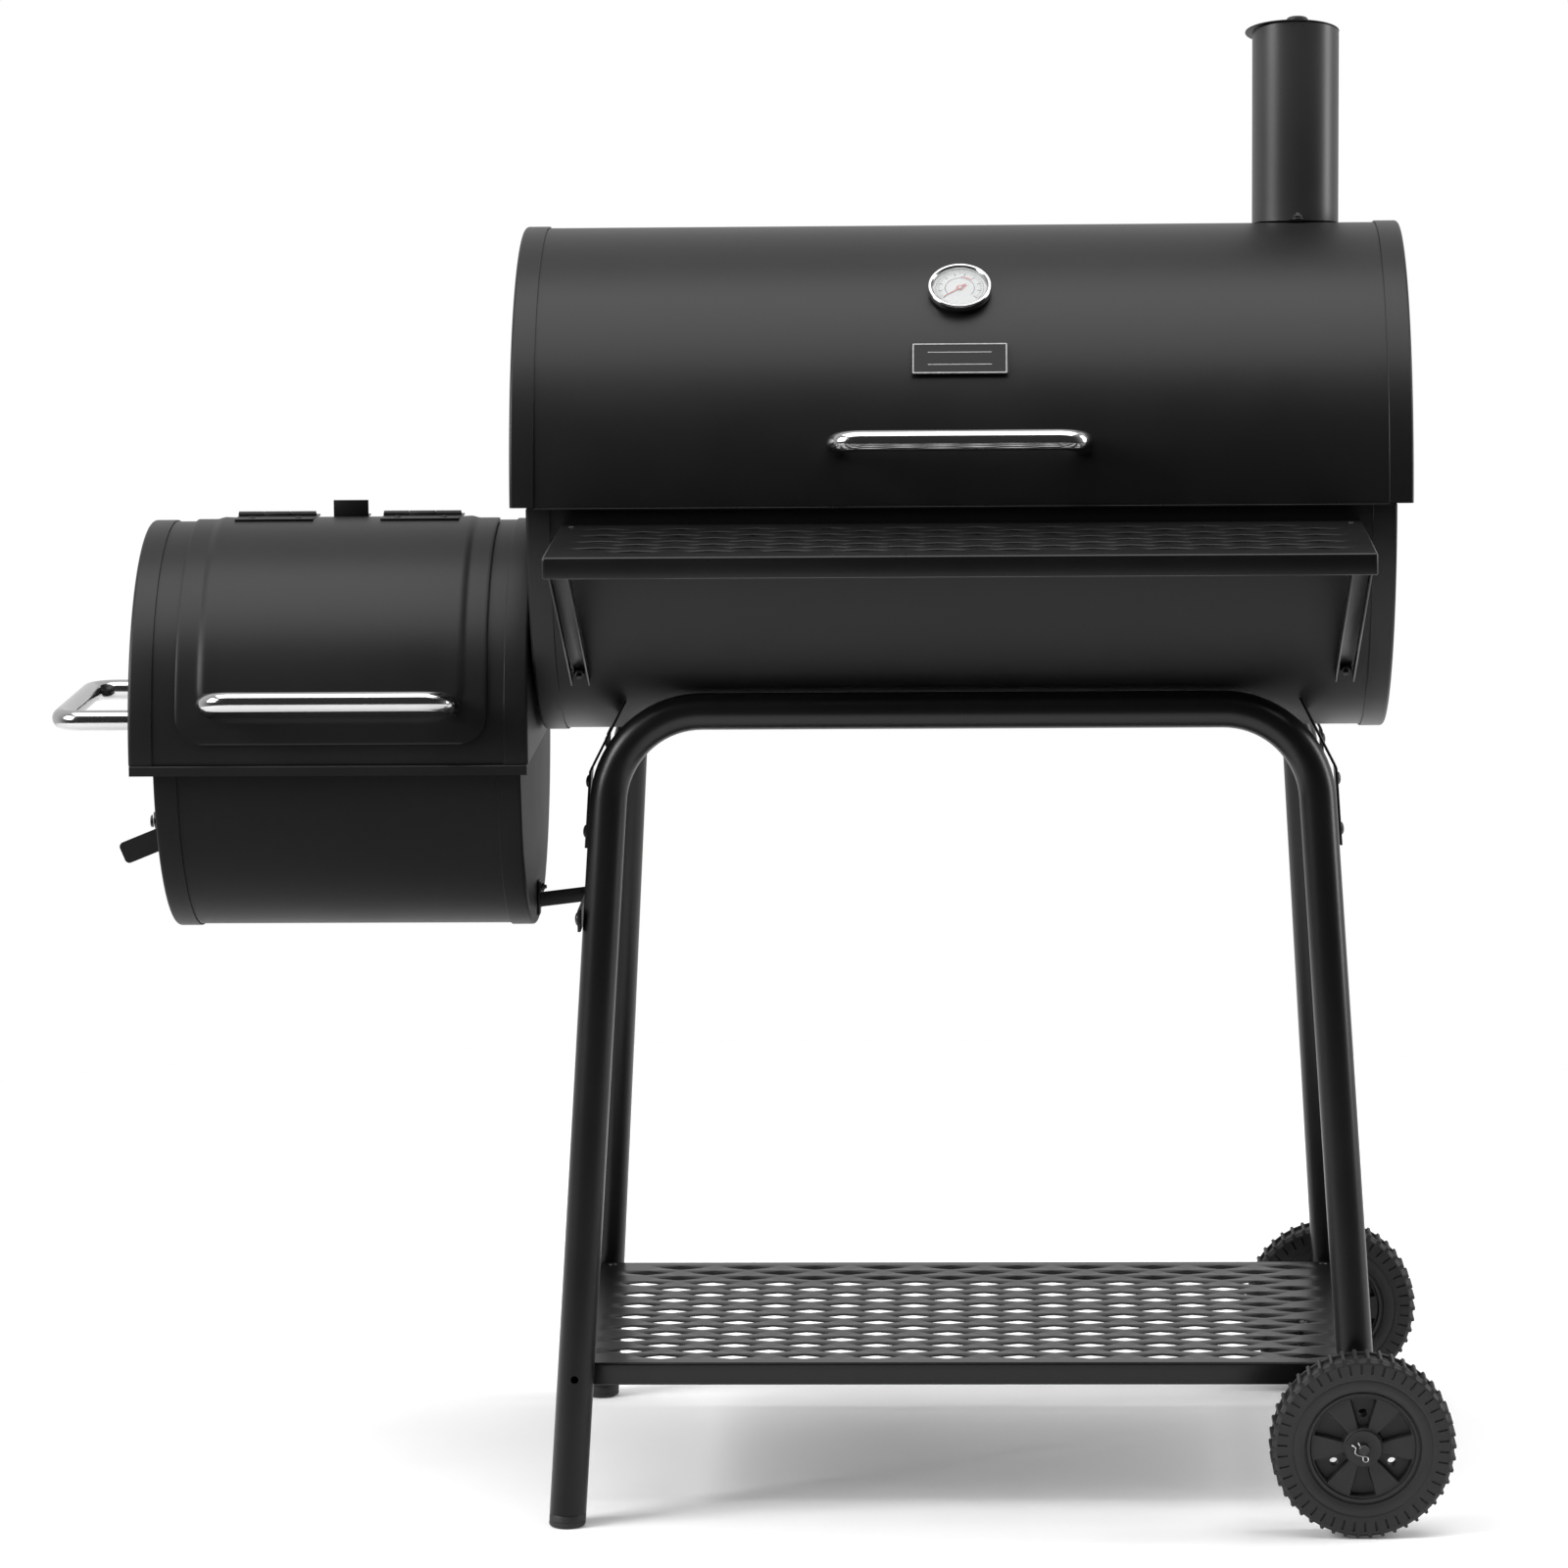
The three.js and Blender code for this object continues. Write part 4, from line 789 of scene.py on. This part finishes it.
# ------------------------------------------------------------------ stack
def stack():
    x, y = STACK
    slope = tan(SLANT)
    drum = LID_R + GAP

    def ring(r, height):
        points = []
        for p in circle(r, 96):
            foot = sqrt(drum**2 - (y + p.y) ** 2)
            rim = STACK_RISE - slope * p.y
            points.append(Vector((x + p.x, y + p.y, AXIS_Z + foot + (rim - foot) * height)))
        return points
    outer = [
        ring(STACK_R, t) for t in (0, 0.02, 0.25, 0.5, 0.75, 0.97)
    ] + [ring(STACK_R - 0.1, 0.999), ring(STACK_R - 0.5, 1)]
    inner = [ring(STACK_R - CAP, t) for t in (1, 0.97, 0.5, 0)]
    pipe = loft(outer + inner, ends=False, loop=True)
    # the stack pipe and its seam take the lightened enamel, which is painted reflection
    finish("stack_tube", pipe, STACK_PAINTED_REFLECTION, "main_lid", ["stack_pipe"])
    # the welded seam down the back and the two bolted feet
    seam = []
    for z in (292, 340, 390, STACK_RISE - slope * STACK_R - 0.5):
        seam.append([
            Vector((x + (STACK_R - 0.4 + d) * sin(a), y + (STACK_R - 0.4 + d) * cos(a), AXIS_Z + z))
            for a, d in ((-0.05, 0), (-0.03, 0.8), (0.03, 0.8), (0.05, 0))
        ])
    seam[0] = [Vector((p.x, p.y, AXIS_Z + sqrt(drum**2 - min(p.y, drum) ** 2))) for p in seam[0]]
    finish("stack_seam", loft(seam), STACK_PAINTED_REFLECTION, "main_lid")
    for side, name in DEPTHS:
        near, far = sorted((y + side * (STACK_R - 0.5), y + side * (STACK_R + 13)))
        a0, a1 = degrees(acos(-near / drum)), degrees(acos(-far / drum))
        shape = arcs(
            [(x - 8, drum), (x + 8, drum), (x + 8, drum + 1.6), (x - 8, drum + 1.6)], a0, a1, 8, AXIS_Z
        )
        finish(f"stack_foot_{name}", shape, ENAMEL, "main_lid")
        middle = degrees(acos(-(y + side * (STACK_R + 7)) / drum))
        nut(f"stack_nut_{name}", on_round(middle, drum + 1.6, x), "main_lid", 7, 3, 5.4, 1.6)
    slant = Matrix.Translation((x, y, AXIS_Z + STACK_RISE)) @ Matrix.Rotation(-SLANT, 4, "X")
    ear = plate(round_rect(16, 17.6, 3), 1.8, slant @ Matrix.Translation((0, -STACK_R + 8.4, -4)), 0.3)
    finish("cap_ear", ear, ENAMEL, "main_lid")
    rim = [
        (0, 0.3), (43.2, 0.3), (43.8, 0.6), (44, 1.05), (43.8, 1.5), (43.2, 1.8), (42.2, 1.7), (40, 1.45),
        (0, 1.45)
    ]
    disc = lathe(rim, slant @ Matrix.Translation((-3.2, 0, 0)), 96)
    finish("cap_disc", disc, ENAMEL, "stack_cap", ["stack_cap"])
    knob = [(0, 1.9), (8.8, 1.9), (9.8, 2.4), (10, 3.4), (9.8, 4.6), (8.6, 5.6), (5, 6.0), (0, 6.1)]
    post = slant @ Matrix.Translation((0, -33, 0))
    finish("cap_knob", lathe(knob, post, 48), RUBBER, "main_lid")
    shank = [(0, -5.5), (2.2, -5.5), (2.4, -5.2), (2.4, 1.9), (0, 1.9)]
    finish("cap_shank", lathe(shank, post, 24), ZINC, "main_lid")


# ------------------------------------------------------------------ firebox fittings
def damper():
    x = PAN_LEFT - GAP
    out = facing((-1, 0, 0), (x, 0, DAMPER_Z))
    rim = [(0, 0), (41.6, 0), (42, 0.4), (42, 1.1), (41.6, 1.5), (30, 1.5), (0, 1.5)]
    disc = finish("damper_disc", lathe(rim, out, 72), ENAMEL, "air_damper", ["air_damper"])
    carve(disc, *vent_cutters(x, VENT_TURN), rod(3.2, (x - 9, 0, DAMPER_Z), (x + 9, 0, DAMPER_Z), 24))
    # the finger tab: its inner end is cut to lie on the plate
    droop, half, length = radians(22), 10.5, 55
    along = Vector((-cos(droop), 0, -sin(droop)))
    up = Vector((-sin(droop), 0, cos(droop)))
    turn = Matrix((along, up, along.cross(up))).transposed().to_4x4()
    place = Matrix.Translation((x - 0.2, -39.5, DAMPER_Z - 5)) @ turn @ Matrix.Translation((0, 0, -0.9))
    lean = half * tan(droop)
    outline = [Vector((-lean, half)), Vector((lean, -half))]
    for sy in (-1, 1):
        for k in range(6):
            a = pi / 2 * (k / 5 if sy > 0 else k / 5 - 1)
            outline.append(Vector((length - 4.5 + 4.5 * cos(a), sy * (half - 4.5) + 4.5 * sin(a))))
    finish("damper_tab", plate(outline, 1.8, place, 0.4), ENAMEL, "air_damper")
    head = out @ Matrix.Translation((0, 0, 1.8))
    screw = lathe([(0, -12), (2.6, -12), (2.9, -11.6), (2.9, 24.5), (0, 24.5)], head, 32)
    lathe([(0, 24.5), (5.4, 24.5), (5.8, 24.9), (5.8, 26.6), (4.8, 27.3), (0, 27.5)], head, 32, shape=screw)
    finish("damper_pivot", screw, DARK_BOLT, "root", ["damper_screw"])
    turns, most = 8, 20.5
    coil = []
    for i in range(20 * turns + 1):
        a = 2 * pi * i / 20
        coil.append(head @ Vector((4.4 * cos(a), 4.4 * sin(a), 1 + most * i / (20 * turns))))
    finish("damper_spring", swept(coil, 0.6, 8), DARK_BOLT, "root")
    tilted = head @ Matrix.Translation((0, 0, 22.6)) @ Matrix.Rotation(radians(6), 4, "X")
    washer = lathe(
        [(3.6, 0), (8.4, 0), (8.8, 0.4), (8.8, 0.8), (8.4, 1.2), (3.6, 1.2), (3.6, 0)], tilted, 40
    )
    finish("damper_washer", washer, ZINC, "root")


def firebox_fittings():
    place = facing((-1, 0, 0), (HOOD_LEFT - GAP, 0, HOOD_Z + 22))
    handle("side_grip", place, 76, "root", "side_handle")
    damper()
    refined("firebox_stay", 0.35)
    refined("stand_tie", 0.5)
    at = about_barrel("firebox_stay")
    nut("stay_bolt_left", facing((1, 0, 0), (at[0].x + 2, -4, at[1].z - 6)), "root", 7, 3, 5, 2)
    low, high = about_barrel("stand_tie")
    z = (low.z + high.z) / 2
    for side, name in DEPTHS:
        place = facing((-1, 0, 0), (low.x, side * leg_at(z)[1], z))
        dome(f"tie_bolt_{name}", place, "root", 6.5, 3.2, DARK_BOLT)


# ------------------------------------------------------------------ stand
def stand():
    for sy, depth in DEPTHS:
        for sx, name in SIDES:
            bottom = 12 if sx < 0 else AXLE_Z - 26
            knee = Vector((sx * KNEE_X, sy * RAIL_Y, RAIL_Z))
            start = Vector((sx * 0.02, sy * RAIL_Y, RAIL_Z))
            x, y = leg_at(bottom)
            end = Vector((sx * x, sy * y, bottom))
            path = rounded([start, knee, end], RAIL_BEND, 18)
            shape = swept(spread(path, 120), TUBE_R, 40, 1.4, bottom)
            tube = finish(f"tube_{depth}_{name}", shape, FRAME, "root", [f"stand_tube_{depth}_{name}"])
            if sx > 0:
                ax = leg_at(AXLE_Z)[0]
                carve(tube, rod(5.3, (ax, sy * 200, AXLE_Z), (ax, sy * 300, AXLE_Z), 24))
            else:
                hole_z = 137
                hx, hy = leg_at(hole_z)
                carve(tube, rod(3.6, (-hx, sy * (hy - 40), hole_z), (-hx, sy * (hy + 40), hole_z), 24))
                foot(depth, sy)
            refined(f"barrel_bracket_{depth}_{name}", 0.5)
            bracket_bolts(depth, name, sx, sy)


def foot(depth, sy):
    """A plastic plug pushed into a left leg, with a ribbed collar on the floor."""
    rings = []
    for z, r in (
        (0, 15.2), (0.8, 16.4), (2.2, 17), (4, 17), (4.4, 16.6), (5.2, 16.6), (5.6, 17), (10.6, 17),
        (11.7, 16.4)
    ):
        x, y = leg_at(z)
        rings.append([Vector((-x + p.x, sy * y + p.y, z)) for p in circle(r, 40)])
    finish(f"foot_plug_{depth}", loft(rings), RUBBER, "root", [f"foot_cap_{depth}_left"])


def bracket_bolts(depth, name, sx, sy):
    low = about_barrel(f"barrel_bracket_{depth}_{name}")[0]
    tilt = (FOOT_X - KNEE_X) / RAIL_Z
    for k, z in enumerate((low.z + 14, low.z + 60)):
        x, y = leg_at(z)[0] + TUBE_R + 3.4, leg_at(z)[1] - TUBE_R - 12
        place = facing((sx, 0, tilt), (sx * x, sy * y, z))
        dome(f"bracket_bolt_{depth}_{name}_{k}", place, "root", 6, 3, DARK_BOLT)


# ------------------------------------------------------------------ shelves
def tray(name, node, length, depth, lip, rows, turn, middle_y):
    """A pressed tray: diamonds with dipped edges, rolled edges and a hem folded under each lip."""
    pitch, row_pitch, half_l, half_w, columns = 66.6, 22.8, 21, 9, 10
    bend = 2.4
    shape = bmesh.new()
    flat_x, flat_y = length / 2 - bend, depth / 2 - bend
    first_row = -((rows - 1) * row_pitch) / 2
    first_column = -((columns - 0.5) * pitch) / 2

    def put(x, y, z):
        return turn @ Vector((x, y + middle_y, z))

    def hole(cx, cy, x0, x1, y0, y1):
        """One cell of the sheet with a dipped diamond in it, top and underside."""
        outline = []
        for px, py in ((1, 0), (0, 1), (-1, 0), (0, -1)):
            if px:
                end_x, end_y = copysign(half_l, px), copysign(half_w, px)
                ends = [(end_x * 0.93, -end_y * 0.07), (end_x * 0.985, 0), (end_x * 0.93, end_y * 0.07)]
            else:
                end_x, end_y = copysign(half_l, py) * 0.096, copysign(half_w, py)
                ends = [(end_x, end_y * 0.904), (0, end_y * 0.97), (-end_x, end_y * 0.904)]
            outline += [Vector(p) for p in ends]
        corners = [(x1, cy), (x1, y1), (cx, y1), (x0, y1), (x0, cy), (x0, y0), (cx, y0), (x1, y0)]
        frame_v = [shape.verts.new(put(x, y, 0)) for x, y in corners]
        lows = [shape.verts.new(put(x, y, -SHEET)) for x, y in corners]
        loops = []
        for wider, z in ((0.07, 0), (0, -0.5), (0, -SHEET)):
            grow_x, grow_y = half_l * wider * 0.6, half_w * wider
            loop = []
            for p in outline:
                x = cx + p.x + copysign(grow_x, p.x) * (abs(p.x) > 1)
                y = cy + p.y + copysign(grow_y, p.y) * (abs(p.y) > 0.5)
                loop.append(shape.verts.new(put(x, y, z)))
            loops.append(loop)
        count = len(outline)
        for a, b in zip(loops, loops[1:]):
            for i in range(count):
                j = (i + 1) % count
                shape.faces.new((a[i], a[j], b[j], b[i]))
        # the four quarters of the cell, from the right-hand point round to the left
        for quarter in range(4):
            span = [(quarter * 3 + 1 + k) % count for k in range(4)]
            around = [frame_v[(quarter * 2 + k) % 8] for k in range(3)]
            shape.faces.new(around + [loops[0][i] for i in reversed(span)])
            under = [lows[(quarter * 2 + k) % 8] for k in range(3)]
            shape.faces.new((under + [loops[2][i] for i in reversed(span)])[::-1])

    def flat(x0, x1, y0, y1):
        if x1 - x0 < 0.01 or y1 - y0 < 0.01:
            return
        for z in (0, -SHEET):
            shape.faces.new(
                [shape.verts.new(put(x, y, z)) for x, y in ((x0, y0), (x1, y0), (x1, y1), (x0, y1))]
            )

    for row in range(rows):
        cy = first_row + row * row_pitch
        y0, y1 = cy - row_pitch / 2, cy + row_pitch / 2
        shift = 0 if row % 2 else pitch / 2
        left = first_column + shift - pitch / 2
        flat(-flat_x, left, y0, y1)
        for i in range(columns):
            cx = first_column + shift + i * pitch
            hole(cx, cy, cx - pitch / 2, cx + pitch / 2, y0, y1)
        flat(left + columns * pitch, flat_x, y0, y1)
    edge = first_row - row_pitch / 2
    flat(-flat_x, flat_x, -flat_y, edge)
    flat(-flat_x, flat_x, -edge, flat_y)
    # rolled edges and lips all round, from the top surface down to the hem and back inside
    steps = 6
    angles = [pi / 2 * i / steps for i in range(steps + 1)]
    section = [(bend * sin(a), bend * cos(a) - bend) for a in angles]
    section += [
        (bend, -lip + 1.2), (bend - 0.35, -lip + 0.35), (bend - 1.1, -lip), (bend - 1.9, -lip + 0.3)
    ]
    section += [
        (bend - 2.3, -lip + 1.0), (bend - 2.3, -lip + 7), (bend - SHEET, -lip + 7.2), (bend - SHEET, -bend),
        (0, -SHEET)
    ]
    rings = []
    for out, z in section:
        ring = []
        soft = 0.6 + max(0, out)
        for sx, sy, a0 in ((1, 1, 0), (-1, 1, 90), (-1, -1, 180), (1, -1, 270)):
            for k in range(4):
                a = radians(a0 + 30 * k)
                ring.append(
                    put(sx * (flat_x - 0.6) + soft * cos(a), sy * (flat_y - 0.6) + soft * sin(a), z)
                )
        rings.append(ring)
    loft(rings, ends=False, shape=shape)
    bmesh.ops.remove_doubles(shape, verts=shape.verts, dist=0.002)
    bmesh.ops.recalc_face_normals(shape, faces=shape.faces)
    level = turn.inverted()
    for face in shape.faces:
        up, z = (level.to_3x3() @ face.normal).z, (level @ face.calc_center_median()).z
        if abs(up) > 0.9 and z > -2 * SHEET and (up > 0) != (z > -SHEET / 2):
            face.normal_flip()
    finish(name, shape, FRAME, "root", [node], crease=35, facing_set=True)


def shelves():
    low, high = about_barrel("bottom_shelf")
    tray(
        "lower_shelf", "bottom_shelf", high.x - low.x, high.y - low.y, high.z - low.z, 17,
        Matrix.Translation((0, 0, high.z)), 0
    )
    tilt = Matrix.Translation((0, -BODY_R - GAP, AXIS_Z - 16)) @ Matrix.Rotation(radians(1), 4, "X")
    tray("front_table", "front_shelf", 722, 236, 19, 8, tilt, -118)
    for side, name in SIDES:
        refined(f"shelf_strut_{name}", 0.4)
        place = on_round(-41.2, BODY_R + GAP + 2.4, side * STRUT_X)
        nut(f"strut_nut_{name}", place, "root", 9, 5.5, 7.2, 4)
        at = tilt @ Matrix.Translation((side * STRUT_X, -20, 0))
        dome(f"table_screw_{name}", at, "root", 2.8, 1.2, DARK_BOLT)
        for sy in (-1, 1):
            at = Matrix.Translation((side * 352, sy * 196, about_barrel("bottom_shelf")[1].z))
            dome(f"shelf_screw_{name}_{sy + 1}", at, "root", 4, 1.8, DARK_BOLT)


# ------------------------------------------------------------------ wheels
LUGS = 46


def wheel(side, name):
    ax = leg_at(AXLE_Z)[0]
    middle = side * (WHEEL_Y - WHEEL_WIDTH / 2)
    # local Z is the axle line, pointing to the outside; local Y is up
    out = facing((0, side, 0), (ax, middle, AXLE_Z))
    body = "wheel_" + name
    half = WHEEL_WIDTH / 2
    # (radius, width from the middle, radius on a lug, depth of a groove)
    tread = [
        (80.2, 0, 1, 0), (80.2, 6, 1, 0), (80.2, 10.8, 1, 0), (82.6, 11.6, 1, 0), (82.6, 15.0, 1, 0),
        (81.2, 16.0, 1, 0), (80.8, 17.4, 0.8, 0), (80.2, half - 0.6, 0.2, 0), (79, half - 0.1, 0, 0),
        (78.2, half, 0, 0), (77.6, half, 0, 1), (70, half, 0, 1), (69.2, half, 0, 0),
        (66, half - 0.3, 0, 0), (64.5, half - 0.2, 0, 0), (63.6, half - 0.8, 0, 0),
        (62.8, half - 0.4, 0, 0), (56, half - 0.9, 0, 0), (53.4, half - 1.8, 0, 0),
        (52.8, half - 3.6, 0, 0), (51.6, half - 3.8, 0, 0), (51.2, half - 2.6, 0, 0),
        (50.2, half - 2, 0, 0), (48.6, half - 2.2, 0, 0), (47.8, half - 4, 0, 0), (47.4, 2, 0, 0),
    ]
    line = [(r, -h, lug, groove) for r, h, lug, groove in reversed([t for t in tread if t[1] > 0])]
    line += [t for t in tread if t[1] >= 0]
    # (share of a lug's pitch, on a lug, in a groove)
    pitch = [
        (0, 1, 0), (0.2, 1, 0), (0.28, 0, 0), (0.6, 0, 0), (0.64, 0, 1), (0.76, 0, 1), (0.8, 0, 0),
        (0.92, 0, 0)
    ]
    rings = []
    for i in range(LUGS):
        for offset, lug, groove in pitch:
            turn = Matrix.Rotation(2 * pi * (i + offset) / LUGS, 4, "Z")
            ring = []
            for r, h, raised, deep in line:
                radius = r + lug * raised * (WHEEL_R - r)
                depth = copysign(1.5, h) * groove * deep if h else 0
                ring.append(out @ (turn @ Vector((radius, 0, h - depth))))
            rings.append(ring)
    tyre = loft(rings, ends=False, loop=True)
    finish(f"tyre_{name}", tyre, RUBBER, body, [body], crease=40)

    # the disc: six spokes, with a recessed pocket between each two of them, and a raised hub
    radii = [
        5.3, 8, 16.4, 17.2, 17.8, 18.4, 19.0, 19.6, 20.4, 22, 26, 30, 34, 38, 42, 44, 44.8, 45.6, 46.4, 47.5
    ]
    angles = []
    for window in range(6):
        for d in (-30, -22, -17, -15.6, -14.6, -13.6, -12, -8, -4, 0, 4, 8, 12, 13.6, 14.6, 15.6, 17, 22):
            angles.append(radians(60 * window + 30 + d))

    def level(r, angle, face):
        if r < 17.0:
            return face * (half + (0.4 if r < 16.9 else -0.4))
        off = degrees(angle) % 60 - 30
        inside = min(r - 18.4, 45.6 - r, (14.6 - abs(off)) * radians(1) * r)
        depth = 7.5 * smooth((inside + 0.5) / 1.3)
        lip = 0.8 * smooth((17.8 - r) / 1.0)
        return face * (half - 4.6 - depth + lip)

    disc = bmesh.new()
    for face in (1, -1):
        rings = [[out @ Vector((r * cos(a), r * sin(a), level(r, a, face))) for r in radii] for a in angles]
        loft(rings, around=False, ends=False, loop=True, shape=disc)
    for r in (radii[0], radii[-1]):
        rings = [
            [out @ Vector((r * cos(a), r * sin(a), level(r, a, face))) for face in (1, -1)] for a in angles
        ]
        loft(rings, around=False, ends=False, loop=True, shape=disc)
    disc = finish(f"wheel_disc_{name}", disc, RUBBER, body, crease=30)
    holes = []
    for window in (1, 3, 5):
        a = radians(60 * window + 30)
        base = out @ Vector((30.5 * cos(a), 30.5 * sin(a), 0))
        holes.append(rod(4, base - Vector((0, 30, 0)), base + Vector((0, 30, 0)), 28))
    carve(disc, *holes)
    # the hairpin through the axle's end
    pin_at = Matrix.Translation((ax - 2.4, side * (WHEEL_Y + 4.6), AXLE_Z - 0.6))
    pin_at = pin_at @ Matrix.Rotation(radians(65), 4, "Y")
    straight = [(-13, 1.2), (-10, 1.0), (-6, 1.6), (0, 1.2), (6, 1.2), (9.4, 1.4)]
    loop = [(12.2, 3.6), (15.2, 4.4), (17.8, 2.6), (18.2, -0.4), (16.2, -2.8), (13.0, -3.0)]
    wavy = [
        (9.4, -1.6), (6.8, -3.4), (3.6, -7.4), (0, -9.2), (-3.4, -8.2), (-6.4, -5.6), (-9.4, -6.2),
        (-13, -9.4)
    ]
    points = [pin_at @ Vector((px * 0.62, 0, pz * 0.62)) for px, pz in straight + loop + wavy]
    curve = []
    for i in range(len(points) - 1):
        p0, p1, p2, p3 = (points[max(0, min(len(points) - 1, i + k))] for k in (-1, 0, 1, 2))
        for s in range(5):
            t = s / 5
            bend, twist = 2 * p0 - 5 * p1 + 4 * p2 - p3, 3 * p1 - p0 - 3 * p2 + p3
            curve.append(0.5 * (2 * p1 + (p2 - p0) * t + bend * t**2 + twist * t**3))
    curve.append(points[-1])
    finish(f"hairpin_{name}", swept(curve, 0.75, 10), CHROME, "root", [f"axle_clip_{name}"])


def running_gear():
    ax = leg_at(AXLE_Z)[0]
    low, high = about_barrel("axle")
    half = (high.y - low.y) / 2
    profile = [(0, -half), (4.2, -half), (5, -half + 0.8), (5, half - 0.8), (4.2, half), (0, half)]
    finish("axle_rod", lathe(profile, facing((0, 1, 0), (ax, 0, AXLE_Z)), 36), DARK_BOLT, "root", ["axle"])
    wheel(-1, "front")
    wheel(1, "back")


# ------------------------------------------------------------------ the object
chambers()
door()
lid_fittings()
stack()
firebox_fittings()
stand()
shelves()
running_gear()
for grate in ("cooking_grate_left", "cooking_grate_right", "charcoal_grate", "fire_grate"):
    refined(grate, 1.8)
for name, node in frame["nodes"].items():
    for material_slot in node.material_slots:
        material_slot.material = NODE_FINISH.get(name, ENAMEL)


# ------------------------------------------------------------------ floor, light and camera
def stage():
    """A round pale floor, and a studio that is white behind the object and dim in front of it."""
    rings = []
    for scale in (0.4, 1.0, 1.6, 2.2):
        rings.append([Vector((p.x * scale, p.y * scale, 0)) for p in circle(1.0, 96)])
    shape = loft(rings, ends=False)
    shape.faces.new([v for v in shape.verts if v.co.length < 0.45])
    mesh = bpy.data.meshes.new("floor")
    shape.to_mesh(mesh)
    shape.free()
    floor = bpy.data.objects.new("floor", mesh)
    floor.location.z = -0.0005
    paper = varied(
        "floor_paper", grey(0.9), grey(0.92), (0.85, 0.95), grain=300, grain_height=0.02, specular=0.1
    )
    paper.node_tree.nodes["Principled BSDF"].inputs["Emission Color"].default_value = (1, 1, 1, 1)
    paper.node_tree.nodes["Principled BSDF"].inputs["Emission Strength"].default_value = 0.06
    mesh.materials.append(paper)
    scene.collection.objects.link(floor)

    world = bpy.data.worlds.new("studio")
    scene.world = world
    world.use_nodes = True
    nodes, links = world.node_tree.nodes, world.node_tree.links
    background = nodes["Background"]
    background.inputs["Strength"].default_value = 0.8
    where = nodes.new("ShaderNodeTexCoord")
    apart = nodes.new("ShaderNodeSeparateXYZ")
    links.new(where.outputs["Generated"], apart.inputs["Vector"])
    ramp = add_ramp(nodes, (0.2, grey(0.06)), (0.75, grey(1)))
    ramp.color_ramp.interpolation = "EASE"
    depth = add(nodes, "MapRange", From_Min=-1, From_Max=1)
    links.new(apart.outputs["Y"], depth.inputs["Value"])
    links.new(depth.outputs["Result"], ramp.inputs["Fac"])
    links.new(ramp.outputs["Color"], background.inputs["Color"])
    seen = add(nodes, "Background", Color=(1, 1, 1, 1), Strength=1.0)
    path = nodes.new("ShaderNodeLightPath")
    mix = nodes.new("ShaderNodeMixShader")
    links.new(path.outputs["Is Camera Ray"], mix.inputs["Fac"])
    links.new(background.outputs["Background"], mix.inputs[1])
    links.new(seen.outputs["Background"], mix.inputs[2])
    links.new(mix.outputs["Shader"], nodes["World Output"].inputs["Surface"])


def softbox(name, at, target, width, height, power):
    data = bpy.data.lights.new(name, "AREA")
    data.shape = "RECTANGLE"
    data.size, data.size_y, data.energy = width, height, power
    lamp = bpy.data.objects.new(name, data)
    lamp.location = at
    lamp.rotation_euler = (Vector(target) - Vector(at)).to_track_quat("-Z", "Y").to_euler()
    scene.collection.objects.link(lamp)


def camera():
    eye = (Vector((36.8, -5601.4, 1483.3)) + OFFSET) * MM
    yaw, pitch, roll = 0.0369, 0.1467, 0.0096
    ahead = Vector((-sin(yaw) * cos(pitch), cos(yaw) * cos(pitch), -sin(pitch)))
    right = Vector((cos(yaw), sin(yaw), 0))
    up = right.cross(ahead)
    x = right * cos(roll) - up * sin(roll)
    y = right * sin(roll) + up * cos(roll)
    data = bpy.data.cameras.new("camera")
    data.sensor_width = 36
    data.lens = 137.28825
    data.clip_end = 100
    scene.camera = bpy.data.objects.new("camera", data)
    scene.camera.matrix_world = Matrix.Translation(eye) @ Matrix((x, y, -ahead)).transposed().to_4x4()
    scene.collection.objects.link(scene.camera)


scene.view_settings.view_transform = "Standard"
stage()
softbox("key", (0.2, -0.45, 3.5), (0.2, 0, 0.9), 4.8, 2.4, 128)
softbox("left", (-3.0, -1.3, 2.2), (0.5, 0, 1.35), 1.5, 1.7, 130)
softbox("right", (3.4, 0.2, 1.6), (0.3, 0, 1.0), 0.8, 2.4, 60)
camera()
